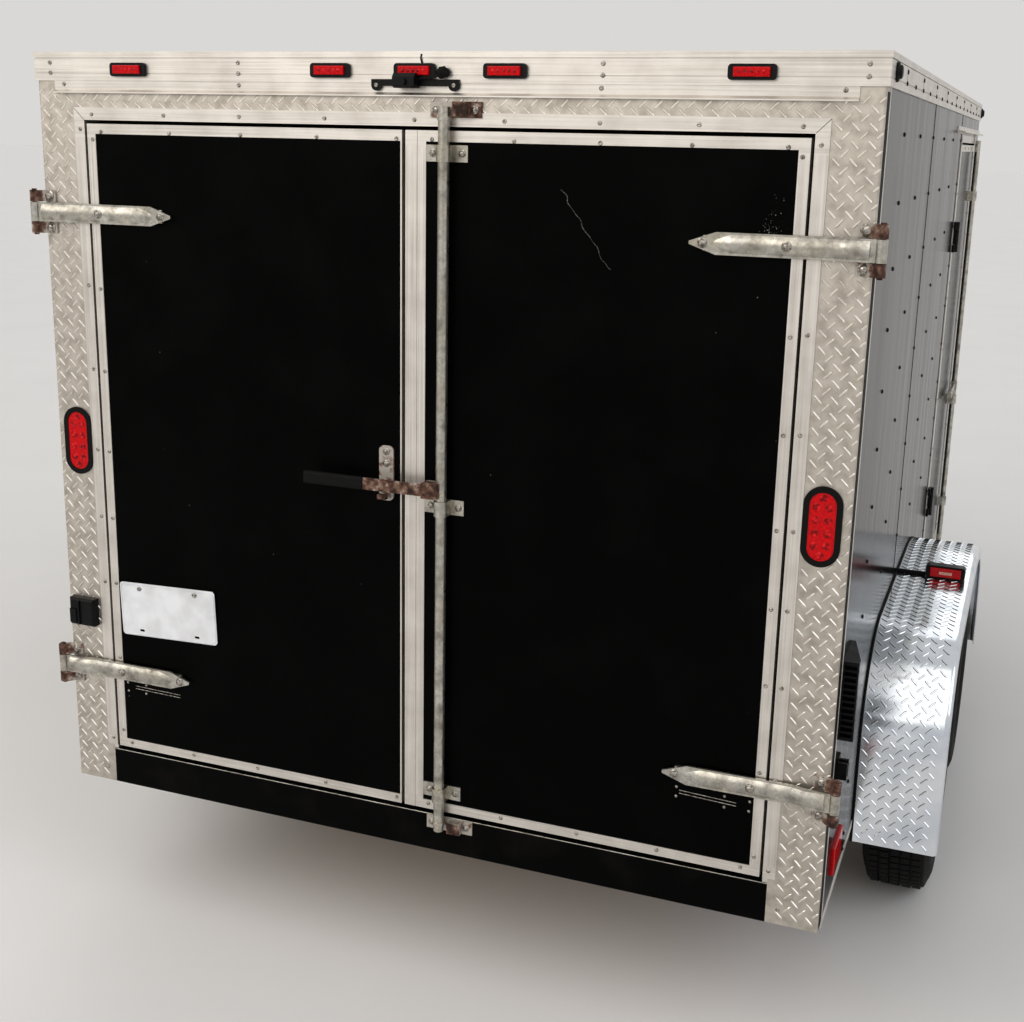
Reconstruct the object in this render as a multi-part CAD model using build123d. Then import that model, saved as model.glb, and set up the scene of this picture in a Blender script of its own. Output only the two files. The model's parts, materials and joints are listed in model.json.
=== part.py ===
"""Enclosed cargo trailer on two axles, in mm: +Y to the coupler, +X to the curb side, ground at Z = 0."""
from build123d import *
import math
import os

# Body
body_width = 2133.6
body_length = 3657.6
post_bottom = 395.0
post_height = 1942.0
roof_trim_height = 70.0
roof_trim_proud = 5.0
roof_trim_depth = 25.0
roof_trim_bands = ((0.24, 1.0), (0.03, 0.6), (0.50, 1.0), (0.03, 0.6), (0.20, 1.3))
roof_crown = 22.0
roof_crown_run = 380.0
wall_thickness = 38.0
skin_thickness = 3.0
panel_width = 1219.2
panel_seam = 0.5
seam_before_door = 61.6
front_corner_radius = 90.0
front_part = 500.0
stone_guard_height = 610.0
stone_guard_thickness = 2.0

# Rear frame
post_width = 126.8
post_depth = 60.0
post_edge_radius = 5.0
frame_trim_width = 31.0
frame_trim_face = 2.5
doorway_from_side = 139.2
doorway_top = 1846.0
sill_height = 105.0
drip_rail_from_side = 54.8
drip_rail_height = 30.0
drip_rail_proud = 12.0
drip_rail_sheet = 3.0
drip_rail_lip = 9.0

# Rear doors
door_thickness = 40.0
door_gap = 8.0
door_meeting_gap = 9.0
door_bottom_gap = 12.0
door_top_gap = 9.0
door_trim_width = 25.0
door_trim_face = 2.5
centre_strip_width = 53.0
centre_strip_left = -20.0
centre_strip_groove = 31.0

# Rear hinges
hinge_heights = (350.0, 1611.0)
strap_reach = 413.0
strap_height = 49.0
strap_thickness = 6.5
strap_clear = 8.0
strap_crown = 7.0
strap_crown_width = 40.0
strap_shoulder = 60.0
strap_crown_start = 54.0
strap_crown_taper = 40.0
strap_crown_end = 24.0
strap_kink_reach = 99.0
strap_kink_run = 26.0
hinge_pin_radius = 6.5
hinge_pin_clear = 0.5
knuckle_radius = 12.0
pin_outboard = 17.2
pin_rearward = 20.0
ear_height = 29.0
ear_gap = 1.5

# Lock rod, its guides and keepers
rod_x = 87.5
rod_rearward = 24.0
rod_radius = 13.45
rod_bottom = 74.0
rod_top = 1890.0
guide_heights = (175.0, 941.0, 1786.0)
guide_reach = 51.5
guide_height = 38.0
guide_plate = 4.0
guide_wall = 4.5
keeper_width = 128.0
keeper_height = 36.0
keeper_hump_width = 36.0
keeper_hump_proud = 24.0
keeper_above_doorway = 38.0
keeper_below_deck = 22.0
handle_height = 987.0
handle_bar_height = 30.0
handle_bar_thickness = 6.0
handle_rearward = 44.0
handle_length = 323.0
grip_length = 163.0
grip_height = 33.0
grip_thickness = 16.0
hasp_left = -90.0
hasp_width = 39.0
hasp_bottom = 939.0
hasp_length = 140.0
hasp_shelf_proud = 34.0
hasp_shelf_thickness = 12.0

# Tail lamps, small lamps and fittings, placed from the rear face and from the posts' bottom
lamp_from_side = 63.8
lamp_z = 1395.0
lamp_depth = 30.0
lamp_length = 186.0
lamp_width = 88.0
lens_length = 158.0
lens_width = 60.0
lamp_proud = 5.0
roof_lamp_places = (-781.0, -212.0, 7.0, 230.0, 788.0)
roof_lamp_length = 104.0
roof_lamp_height = 33.0
roof_lamp_middle = 27.0
roof_lamp_depth = 9.0
lamp_rim = 13.0
lamp_lens_proud = 7.0
fender_lamp_behind_axles = 202.5
fender_lamp_from_edge = 25.0
fender_lamp_width = 118.0
fender_lamp_depth = 34.0
fender_lamp_height = 41.0
side_lamp_rear = 165.0
side_lamp_length = 136.0
side_lamp_bottom = 64.0
side_lamp_height = 74.0
side_lamp_proud = 8.0
vent_bottom = 472.0
vent_height = 196.0
vent_length = 150.0
vent_proud = 37.0
vent_slots = 12
hold_back_rear = 66.0
hold_back_bottom = 362.0
hold_back_height = 62.0
plate_lamp_from_side = 16.8
plate_lamp_width = 80.0
plate_lamp_bottom = 472.0
plate_lamp_height = 79.0
plate_lamp_depth = 26.0
plate_width = 304.8
plate_height = 152.4
plate_x = -735.0
plate_z = 543.0
plate_turn = 2.0
plate_bolt_x = 88.9
plate_bolt_z = 60.3
camera_bar = (-104.0, 118.0)
camera_body = (-36.0, 19.0)
camera_bar_sheet = 6.0
camera_lug_radius = 13.0

# Side door, its frame, hinges, bar lock and drip cap
side_door_past_fender = 71.0
side_door_width = 813.0
side_door_from_front = 344.6
side_door_gap = 8.0
side_door_low = 117.0
side_door_high = 1837.0
side_frame_width = 28.0
side_frame_face = 3.0
side_pin_outboard = 14.0
side_pin_behind = 12.0
side_hinge_heights = (470.0, 1500.0)
side_hinge_half = 28.0
side_hinge_block = 27.0
side_bar_radius = 11.0
side_bar_proud = 17.0
side_bar_inset = 100.0
side_bar_past_door = 20.0
side_bar_guides = (300.0, 760.0, 1630.0)
side_guide_height = 40.0
side_guide_half_width = 26.0
side_handle_length = 300.0
side_handle_grip = 120.0
side_handle_level = 48.0
side_handle_height = 26.0
drip_cap_past_door = 280.0
drip_cap_above_frame = 14.0
drip_cap_proud = 24.0

# Running gear
tyre_radius = 343.0
tyre_width = 205.0
tyre_wall_gap = 10.7
rim_radius = 190.0
rim_width = 127.0
rim_window_circle = 130.0
rim_window_length = 62.0
rim_window_width = 34.0
axle_spacing = 838.0
axle_drop = 102.0
axle_tube_radius = 30.0
axle_tube_short = 92.0
spindle_radius = 20.0
brake_plate_radius = 118.0
spring_span = 641.0
spring_camber = 40.0
leaf_count = 4
leaf_thickness = 8.0
leaf_width = 44.5
spring_eye_drop = 30.0
bolt_radius = 7.0
bolt_head_radius = 11.0
cheek_thickness = 5.0
frame_height = 102.0
rail_width = 51.0
deck_thickness = 19.0
crossmember_pitch = 406.4
crossmember_width = 38.0
crossmember_height = 76.0

# Fenders
fender_length = 1829.0
fender_tyre_gap = 14.5
fender_bottom = -60.0
fender_top = 515.0
fender_rear_radius = 280.0
fender_front_run = 829.0
fender_sheet = 3.0
fender_lip = 50.0
fender_edge_radius = 15.0
fender_wall_gap = 0.3

# Tongue, chain lugs, coupler and jack
tongue_length = 1220.0
tongue_angle = 25.0
lug_behind = 640.0
lug_length = 60.0
lug_depth = 44.0
lug_thickness = 10.0
lug_eye_radius = 9.0
coupler_ball_radius = 29.5
ball_clear = 0.5
socket_wall = 8.0
socket_depth = 24.0
ball_below_frame_top = 41.0
coupler_neck = 190.0
coupler_tail = 420.0
coupler_sheet = 5.0
coupler_depth = 78.0
coupler_neck_half = 48.0
coupler_neck_start = 62.0
coupler_seat = 0.3
jack_y_behind = 500.0
jack_plate_half = 60.0
jack_plate_thickness = 8.0
jack_outer_radius = 28.5
jack_inner_radius = 23.5
jack_tube_bottom = 260.0
jack_tube_top = 830.0
jack_cap_height = 20.0
jack_crank_reach = 178.0
jack_knob_length = 88.0
jack_foot_radius = 76.0
jack_foot_height = 24.0

# Levels and stations worked out from the sizes above
half_width = body_width / 2
doorway_half_width = half_width - doorway_from_side
drip_rail_half_width = half_width - drip_rail_from_side
lamp_x = half_width - lamp_from_side
plate_lamp_x = plate_lamp_from_side - half_width
post_top = post_bottom + post_height
roof_top = post_top + roof_trim_height
deck_top = post_bottom + sill_height
frame_top = deck_top - deck_thickness
frame_bottom = frame_top - frame_height
ball_height = frame_top - ball_below_frame_top
handle_reach = handle_rearward + grip_thickness / 2
coupler_nose = coupler_ball_radius + ball_clear + socket_wall
rear_y = (handle_reach - body_length - tongue_length - coupler_nose) / 2
front_y = rear_y + body_length
ball_y = front_y + tongue_length
door_outer_x = doorway_half_width - door_gap + 0.4
door_bottom = deck_top + door_bottom_gap
door_top = post_bottom + doorway_top - door_top_gap
pin_x = half_width + pin_outboard
pin_y = rear_y - pin_rearward
wheel_track_half = half_width + tyre_wall_gap + tyre_width / 2
fender_outer = wheel_track_half + tyre_width / 2 + fender_tyre_gap + fender_sheet
side_door_front = front_y - side_door_from_front
side_door_rear = side_door_front - side_door_width
fender_rear = side_door_rear - side_door_past_fender - fender_length - rear_y
fender_lamp_left = fender_outer - fender_lamp_from_edge - fender_lamp_width
axle_middle = fender_rear + fender_length / 2
fender_lamp_rear = axle_middle - fender_lamp_behind_axles
side_door_bottom = post_bottom + side_door_low
side_door_top = post_bottom + side_door_high

parts = {}


def block(x, y, z):
    """A box between two limits on each axis."""
    size = [limits[1] - limits[0] for limits in (x, y, z)]
    centre = [(limits[1] + limits[0]) / 2 for limits in (x, y, z)]
    return Pos(*centre) * Box(*size)


def prism_x(outline, x):
    """A closed (y, z) outline carried along X between two limits."""
    face = make_face(Polyline(*[(x[0], y, z) for y, z in outline], close=True))
    return extrude(face, amount=x[1] - x[0], dir=(1, 0, 0))


def prism_y(outline, y):
    """A closed (x, z) outline carried along Y between two limits."""
    face = make_face(Polyline(*[(x, y[0], z) for x, z in outline], close=True))
    return extrude(face, amount=y[1] - y[0], dir=(0, 1, 0))


def prism_z(outline, z):
    """A closed (x, y) outline carried along Z between two limits."""
    face = make_face(Polyline(*[(x, y, z[0]) for x, y in outline], close=True))
    return extrude(face, amount=z[1] - z[0], dir=(0, 0, 1))


def rod_z(x, y, z, radius):
    """An upright round bar between two heights."""
    return Pos(x, y, (z[0] + z[1]) / 2) * Cylinder(radius, z[1] - z[0])


def rod_across(x, y, z, radius):
    """A round bar lying along X between two limits."""
    return Pos((x[0] + x[1]) / 2, y, z) * Rot(0, 90, 0) * Cylinder(radius, x[1] - x[0])


def other_side(shape):
    """The same shape on the other side of the trailer."""
    return mirror(shape, about=Plane.YZ)


def both_sides(shape):
    """A shape and its mirror image."""
    return [shape, other_side(shape)]


def keep(node, *shapes):
    """File one named piece of the trailer: one solid, or like solids that stand apart."""
    solids = []
    for shape in shapes:
        solids += shape if isinstance(shape, list) else [shape]
    parts[node] = solids


def front_plan(inset):
    """The body's plan shape at the front, with its rounded corners, a little way inside the skin."""
    x = half_width - inset
    y = front_y - inset
    start = front_y - front_part
    sketch = Pos(0, (start + y) / 2) * Rectangle(2 * x, y - start)
    return fillet(sketch.vertices().sort_by(Axis.Y)[-2:], front_corner_radius - inset)


def front_of_corners(shape):
    """What lies forward of the line where the side walls start to curve."""
    start = front_y - front_corner_radius
    ahead = block((-half_width - 9, half_width + 9), (start, front_y + 9), (0, roof_top + 99))
    return shape & ahead


def floor_frame():
    """Side rails, crossmembers and deck."""
    rail_outer = half_width - skin_thickness
    rail_inner = rail_outer - rail_width
    y_limits = (rear_y + post_depth, front_y - front_corner_radius)
    rail = block((rail_inner, rail_outer), y_limits, (frame_bottom, frame_top))
    tongue_tail = front_y - 2 * crossmember_pitch + crossmember_width / 2
    members = both_sides(rail)
    count = int((body_length - post_depth) // crossmember_pitch)
    for index in range(1, count + 1):
        middle = front_y - index * crossmember_pitch
        y_limits = (middle - crossmember_width / 2, middle + crossmember_width / 2)
        member = block((-rail_inner, rail_inner), y_limits, (frame_top - crossmember_height, frame_top))
        if y_limits[0] > tongue_tail:
            for rail_shape in tongue_rail_pair(front_y - 2 * crossmember_pitch):
                member = member - rail_shape
        members += member.solids()
    bolster = front_plan(skin_thickness) - front_plan(skin_thickness + crossmember_width)
    bolster = front_of_corners(Pos(0, 0, frame_bottom) * extrude(bolster, amount=frame_height))
    for rail_shape in tongue_rail_pair(front_y - 2 * crossmember_pitch):
        bolster = bolster - rail_shape
    members += bolster.solids()
    keep("floor_frame", members)
    lugs = [safety_chain_lug(), other_side(safety_chain_lug())]
    keep("tongue_rails", tongue_rail_pair(tongue_tail) + lugs)

    inside = half_width - wall_thickness
    deck = block((-inside, inside), (rear_y + post_depth, front_y - wall_thickness), (frame_top, deck_top))
    corners = deck.edges().filter_by(Axis.Z).sort_by(Axis.Y)[-2:]
    deck = fillet(corners, front_corner_radius - wall_thickness)
    keep("floor_deck", deck)


def tongue_offset(behind_ball):
    """How far out a tongue rail's centre line lies at a distance behind the ball."""
    return behind_ball * math.tan(math.radians(tongue_angle))


def tongue_rail_pair(tail_y):
    """The two A-frame rails, squared off at their tail and behind the coupler's neck."""
    length = 2600.0
    run = length / 2 * math.cos(math.radians(tongue_angle))
    rail = Rot(0, 0, tongue_angle) * Box(rail_width, length, frame_height)
    rail = Pos(tongue_offset(run), ball_y - run, (frame_top + frame_bottom) / 2) * rail
    nose_y = ball_y - coupler_neck
    window = block((0, half_width), (tail_y, nose_y), (frame_bottom, frame_top))
    rail = rail & window
    return both_sides(rail)


def safety_chain_lug():
    """A plate with a round eye, welded under a tongue rail for the safety chain's hook."""
    outline = [(-lug_length / 2, 0), (lug_length / 2, 0), (lug_length / 2 - 10, -lug_depth),
               (10 - lug_length / 2, -lug_depth)]
    y = ball_y - lug_behind
    half = lug_thickness / 2
    lug = prism_x([(y + along, frame_bottom + z) for along, z in outline], (-half, half))
    eye = rod_across((-lug_thickness, lug_thickness), y, frame_bottom - lug_depth / 2, lug_eye_radius)
    return Pos(tongue_offset(lug_behind), 0, 0) * (lug - eye)


def coupler():
    """Pressed A-frame coupler: a tapered channel over the rails, a neck, a domed socket and a lever."""
    wall = rail_width / 2 / math.cos(math.radians(tongue_angle))
    rail_edge = {at: tongue_offset(at) + wall for at in (coupler_tail, coupler_neck)}
    neck_half = coupler_neck_half
    top = frame_top + coupler_sheet
    bottom = top - coupler_depth

    def plan(grow):
        half = [(rail_edge[coupler_tail] + grow, ball_y - coupler_tail),
                (rail_edge[coupler_neck] + grow, ball_y - coupler_neck),
                (neck_half + grow, ball_y - coupler_neck_start)]
        return half + [(-x, y) for x, y in reversed(half)]

    shell = prism_z(plan(coupler_sheet + coupler_seat), (bottom, top))
    shell = shell - prism_z(plan(coupler_seat), (bottom, frame_top))
    bore = coupler_ball_radius + ball_clear
    socket_outer = bore + socket_wall
    socket_bottom = ball_height - socket_depth
    housing = rod_z(0, ball_y, (socket_bottom, ball_height), socket_outer)
    housing += Pos(0, ball_y, ball_height) * Sphere(socket_outer, arc_size1=0)
    bridge = block((-neck_half, neck_half), (ball_y - coupler_neck_start - 1, ball_y), (ball_height, top))
    housing += fillet(bridge.edges().filter_by(Axis.Z), neck_half / 3)
    cavity = rod_z(0, ball_y, (socket_bottom - 1, ball_height), bore)
    cavity += Pos(0, ball_y, ball_height) * Sphere(bore)
    pivot_y = ball_y - coupler_neck_start - neck_half
    ears = block((-neck_half / 2, neck_half / 2), (pivot_y - 16, pivot_y + 16), (top, top + 26))
    ears = fillet(ears.edges().filter_by(Axis.X).sort_by(Axis.Z)[-2:], 12)
    handle = prism_x([(pivot_y + 30, top + 3), (pivot_y + 30, top + 13), (pivot_y, top + 34),
                      (pivot_y - 118, top + 34), (pivot_y - 126, top + 20), (pivot_y - 126, top + 12),
                      (pivot_y - 20, top + 12)], (-neck_half / 4, neck_half / 4))
    pivot = rod_across((-neck_half / 2 - 5, neck_half / 2 + 5), pivot_y, top + 14, bolt_radius)
    lever = ears + handle + pivot
    keep("coupler", shell + housing + lever - cavity)


def jack():
    """Tongue jack: plate on the rails, outer tube with a cap and crank, inner tube and a dished foot."""
    y = ball_y - jack_y_behind
    half = jack_plate_half
    wide = tongue_offset(jack_y_behind + half) + rail_width / 2
    narrow = tongue_offset(jack_y_behind - half) + rail_width / 2
    plate_top = frame_top + jack_plate_thickness
    plate = prism_z([(-wide, y - half), (wide, y - half), (narrow, y + half), (-narrow, y + half)],
                    (frame_top, plate_top))
    tube = rod_z(0, y, (jack_tube_bottom, jack_tube_top), jack_outer_radius)
    thick = jack_plate_thickness
    collar = rod_z(0, y, (plate_top, plate_top + thick), jack_outer_radius + 2 * thick)
    cap_top = jack_tube_top + jack_cap_height
    cap = rod_z(0, y, (jack_tube_top, cap_top), jack_outer_radius + 4)
    cap = chamfer(cap.faces().sort_by(Axis.Z)[-1].edges(), 8)
    arm_top = cap_top + jack_cap_height
    shaft = rod_z(0, y, (cap_top, arm_top), 9)
    arm = block((-9, jack_crank_reach + 12), (y - 8, y + 8), (arm_top - 8, arm_top))
    knob = rod_z(jack_crank_reach, y, (arm_top, arm_top + jack_knob_length), 12)
    knob = fillet(knob.faces().sort_by(Axis.Z)[-1].edges(), 6)
    housing = plate + tube + collar + cap + shaft + arm + knob
    floor = jack_foot_height / 4
    inner = rod_z(0, y, (floor, jack_tube_bottom + 2), jack_inner_radius)
    foot = rod_z(0, y, (0, jack_foot_height), jack_foot_radius)
    foot = foot - rod_z(0, y, (floor, jack_foot_height + 1), jack_foot_radius - floor)
    keep("jack", housing, inner + foot)


def body_shell():
    """Side walls in panels, front wall with rounded corners, roof and edge trims."""
    inside = half_width - wall_thickness
    side_end = front_y - front_corner_radius

    def panel(y0, y1):
        slab = block((inside, half_width), (y0, y1), (frame_top, post_top))
        apron = block((half_width - skin_thickness, half_width), (y0, y1), (frame_bottom, frame_top))
        return slab + apron

    seam = side_door_rear - seam_before_door
    edges = [rear_y + post_depth, seam - panel_width, seam, side_end]
    panels = [panel(edges[i] + (panel_seam if i else 0), edges[i + 1]) for i in range(3)]
    keep("wall_left", [other_side(one) for one in panels])
    gap = side_door_gap
    doorway = block((inside - 1, half_width + 1), (side_door_rear - gap, side_door_front + gap),
                    (side_door_bottom - gap, side_door_top + gap))
    pieces = []
    for one in panels:
        pieces += (one - doorway).solids()
    keep("wall_right", pieces)

    wall = front_plan(0) - front_plan(wall_thickness)
    wall = front_of_corners(Pos(0, 0, frame_top) * extrude(wall, amount=post_top - frame_top))
    apron = front_plan(0) - front_plan(skin_thickness)
    apron = front_of_corners(Pos(0, 0, frame_bottom) * extrude(apron, amount=frame_height))
    for rail_shape in tongue_rail_pair(side_end - 50):
        apron = apron - rail_shape
    keep("wall_front", wall + apron)

    guard = front_plan(-stone_guard_thickness) - front_plan(0)
    guard = Pos(0, 0, frame_top) * extrude(guard, amount=stone_guard_height)
    keep("stone_guard", front_of_corners(guard))

    depth = roof_trim_depth
    trim = None
    z = post_top
    for share, proud in roof_trim_bands:
        height = share * roof_trim_height
        band = body_plan(proud * roof_trim_proud) - body_plan(-depth)
        band = Pos(0, 0, z) * extrude(band, amount=height)
        trim = band if trim is None else trim + band
        z += height
    keep("roof_trim", trim)

    keep("roof", roof_slab(depth))


def body_plan(grow):
    """The body's whole plan shape, square at the rear and rounded at the front, grown outwards."""
    plan = Pos(0, (rear_y + front_y) / 2) * Rectangle(2 * (half_width + grow), body_length + 2 * grow)
    return fillet(plan.vertices().sort_by(Axis.Y)[-2:], front_corner_radius + grow)


def roof_slab(inset):
    """The crowned roof inside its edge trims, as thick as the trims at the sides."""
    x = half_width - inset
    crown = ThreePointArc((-x, roof_top), (0, roof_top + roof_crown), (x, roof_top))
    sides = Polyline((x, roof_top), (x, post_top), (-x, post_top), (-x, roof_top))
    slab = extrude(Plane.XZ * make_face(Curve() + [crown, sides]), amount=-(body_length - 2 * inset))
    slab = Pos(0, rear_y + inset, 0) * slab
    front = slab.edges().filter_by(Axis.Z).sort_by(Axis.Y)[-2:]
    slab = fillet(front, front_corner_radius - inset)
    y = (rear_y + inset, front_y - inset)
    top = roof_top + roof_crown
    hips = prism_x([(y[0], post_top), (y[0], roof_top), (y[0] + roof_crown_run, top + 1),
                    (y[1] - roof_crown_run, top + 1), (y[1], roof_top), (y[1], post_top)], (-x - 1, x + 1))
    return slab & hips


def rear_frame():
    """Tread-plate posts with lamp pockets, header, sill, drip rail and the fixed trim round the doorway."""
    inner = half_width - post_width
    post = block((inner, half_width), (rear_y, rear_y + post_depth), (post_bottom, post_top))
    outer_edge = post.edges().filter_by(Axis.Z).sort_by(Axis.Y)[:2].sort_by(Axis.X)[-1:]
    post = fillet(outer_edge, post_edge_radius)
    pocket = Pos(lamp_x, rear_y + lamp_depth / 2, lamp_z) * lamp_oval(lamp_depth, 0)
    header_bottom = post_bottom + doorway_top + inner - doorway_half_width
    header = block((-inner, inner), (rear_y, rear_y + post_depth), (header_bottom, post_top))
    keep("rear_frame", both_sides(post - pocket), header)
    sill = block((-inner, inner), (rear_y, rear_y + post_depth), (post_bottom, deck_top))
    keep("rear_sill", sill)

    low = post_top - drip_rail_height
    face = rear_y - drip_rail_sheet
    lip = rear_y - drip_rail_proud
    gutter = prism_x([(rear_y, low), (rear_y, post_top), (face, post_top), (face, low + drip_rail_lip),
                      (lip, low + drip_rail_sheet), (lip, low)], (-drip_rail_half_width, drip_rail_half_width))
    keep("rear_drip_rail", gutter)

    outer = doorway_half_width + frame_trim_width
    top = post_bottom + doorway_top
    bottom = door_bottom
    face = block((-outer, outer), (rear_y - frame_trim_face, rear_y), (bottom, top + frame_trim_width))
    lining = block((-inner, inner), (rear_y, rear_y + post_depth), (deck_top, header_bottom))
    hole = block((-doorway_half_width, doorway_half_width), (rear_y - 9, rear_y + post_depth + 9),
                 (deck_top - 1, top))
    keep("doorway_trim", face + lining - hole)


def lamp_oval(depth, inset):
    """An upright oval bar along Y, as the lamp's grommet and lens are."""
    sketch = SlotOverall(lamp_length - 2 * inset, lamp_width - 2 * inset, rotation=90)
    solid = extrude(Plane.XZ * sketch, amount=depth / 2, both=True)
    return solid


def lamp_housing(width, height, depth):
    """A small lamp that faces -Y: its black housing on Y = 0, and the lens in a pocket of the housing."""
    body = block((-width / 2, width / 2), (-depth, 0), (-height / 2, height / 2))
    body = fillet(body.edges().filter_by(Axis.Y), height / 4)
    lens_x = width / 2 - lamp_rim
    lens_z = height / 2 - lamp_rim / 2
    lens = block((-lens_x, lens_x), (-depth - lamp_lens_proud, 2 - depth), (-lens_z, lens_z))
    body = body - lens
    return body, fillet(lens.faces().sort_by(Axis.Y)[0].edges(), lamp_lens_proud / 3)


def tail_lamps():
    """The oval tail lamps in their grommets."""
    inset = (lamp_width - lens_width) / 2
    y = rear_y + (lamp_depth - lamp_proud) / 2
    ring = lamp_oval(lamp_depth + lamp_proud, 0) - lamp_oval(lamp_depth + lamp_proud + 2, inset)
    keep("tail_lamp_grommets", both_sides(Pos(lamp_x, y, lamp_z) * ring))
    lens = Pos(lamp_x, y, lamp_z) * lamp_oval(lamp_depth + lamp_proud - 3, inset)
    keep("tail_lamps", both_sides(lens))


def small_lamps():
    """Five lamps on the roof's rear trim, one on each fender and a reflector low on each side."""
    housings = []
    lenses = []
    for lamp_at in roof_lamp_places:
        body, lens = lamp_housing(roof_lamp_length, roof_lamp_height, roof_lamp_depth)
        place = Pos(lamp_at, rear_y - roof_trim_proud, post_top + roof_lamp_middle)
        housings.append(place * body)
        lenses.append(place * lens)
    body, lens = lamp_housing(fender_lamp_width, fender_lamp_height, fender_lamp_depth)
    place = Pos(fender_lamp_left + fender_lamp_width / 2, rear_y + fender_lamp_rear + fender_lamp_depth,
                post_bottom + fender_top + fender_lamp_height / 2)
    housings += both_sides(place * body)
    lenses += both_sides(place * lens)
    y = rear_y + side_lamp_rear
    z = post_bottom + side_lamp_bottom
    reflector = block((half_width, half_width + side_lamp_proud), (y, y + side_lamp_length),
                      (z, z + side_lamp_height))
    lenses += both_sides(fillet(reflector.faces().sort_by(Axis.X)[-1].edges(), side_lamp_proud / 2))
    keep("lamp_housings", housings)
    keep("marker_lamps", lenses)


def side_fittings():
    """A louvred vent and a door hold-back on each side, behind the fender."""
    y = rear_y + post_depth + 6
    z = post_bottom + vent_bottom
    face = half_width + vent_proud
    vent = prism_z([(half_width, y), (face, y), (face, y + vent_length * 0.15),
                    (half_width + 9, y + vent_length), (half_width, y + vent_length)], (z, z + vent_height))
    pitch = (vent_height - 12) / vent_slots
    for index in range(vent_slots):
        low = z + 8 + index * pitch
        vent = vent - block((half_width + 5, face - 4), (y - 1, y + 16), (low, low + pitch - 5))
    keep("side_vents", both_sides(vent))

    y = rear_y + hold_back_rear
    z = post_bottom + hold_back_bottom
    stop = block((half_width, half_width + 8), (y, y + 40), (z, z + hold_back_height))
    for middle in (y + 8, y + 32):
        stop += block((half_width + 8, half_width + 29), (middle - 4, middle + 4),
                      (z + 8, z + hold_back_height - 12))
    keep("door_hold_backs", both_sides(stop))


def rear_fittings():
    """The plate lamp on the left post, the blank licence plate and the camera over the doors."""
    z = post_bottom + plate_lamp_bottom
    box = block((plate_lamp_x, plate_lamp_x + plate_lamp_width), (rear_y - plate_lamp_depth, rear_y),
                (z, z + plate_lamp_height))
    keep("plate_lamp", fillet(box.faces().sort_by(Axis.Y)[0].edges(), 8))

    plate = Box(plate_width, 2, plate_height)
    plate = fillet(plate.edges().filter_by(Axis.Y), 10)
    slot = extrude(Plane.XZ * SlotOverall(16, 7), amount=5, both=True)
    for x in (-plate_bolt_x, plate_bolt_x):
        for z in (-plate_bolt_z, plate_bolt_z):
            plate = plate - Pos(x, 0, z) * slot
    for x in (-plate_bolt_x, plate_bolt_x):
        for z in (-plate_bolt_z * 0.8, plate_bolt_z * 0.8):
            plate = plate + Pos(x, 3, z) * Rot(90, 0, 0) * Cylinder(6, 4)
    keep("licence_plate", Pos(plate_x, rear_y - 5, post_bottom + plate_z) * Rot(0, -plate_turn, 0) * plate)

    back = rear_y - roof_trim_proud
    face = back - camera_bar_sheet
    bar = block(camera_bar, (face, back), (post_top - 7, post_top + 8))
    for x in (camera_bar[0] + camera_lug_radius, camera_bar[1] - camera_lug_radius):
        lug = Rot(90, 0, 0) * Cylinder(camera_lug_radius, camera_bar_sheet)
        bar += Pos(x, (face + back) / 2, post_top - 5) * lug
    step = face - lamp_lens_proud - roof_lamp_depth + camera_bar_sheet - 2
    front = face - 30
    z = post_top
    body = prism_x([(face, z - 12), (face, z + 9), (step, z + 9), (step, z + 21), (front + 8, z + 21),
                    (front, z + 12), (front, z - 7), (front + 8, z - 12)], camera_body)
    body += Pos(sum(camera_body) / 2, front - 2, z + 2) * Rot(90, 0, 0) * Cylinder(8, 10)
    keep("rear_camera", bar + body)


def door_leaf(x, trims):
    """One rear door: a slab between its edge trims, given as the widths at its left and right edges."""
    left, right = trims
    z = (door_bottom, door_top)
    y = (rear_y, rear_y + door_thickness)
    panel = block((x[0] + left, x[1] - right), y, (z[0] + door_trim_width, z[1] - door_trim_width))
    outer = block(x, (y[0] - door_trim_face, y[1]), z)
    hole = block((x[0] + left, x[1] - right), (y[0] - 9, y[1] + 9),
                 (z[0] + door_trim_width, z[1] - door_trim_width))
    return panel, outer - hole


def rear_doors():
    """Both rear doors with their strap hinges, and the lock rod on the right one."""
    split = centre_strip_left
    right_panel, right_trim = door_leaf((split, door_outer_x), (centre_strip_width, door_trim_width))
    groove = split + centre_strip_groove
    right_trim = right_trim - block((groove - 1, groove + 1), (rear_y - 9, rear_y - 1), (0, door_top + 9))
    keep("door_right_panel", right_panel)
    keep("door_right_trim", right_trim)
    left_panel, left_trim = door_leaf((-door_outer_x, split - door_meeting_gap), (door_trim_width, 4))
    keep("door_left_panel", left_panel)
    keep("door_left_trim", left_trim)

    straps = [strap_hinge(post_bottom + height) for height in hinge_heights]
    keep("door_right_straps", straps)
    keep("door_left_straps", [other_side(one) for one in straps])
    brackets = []
    for height in hinge_heights:
        brackets += both_sides(hinge_bracket(post_bottom + height))
    keep("hinge_brackets", brackets)


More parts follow.
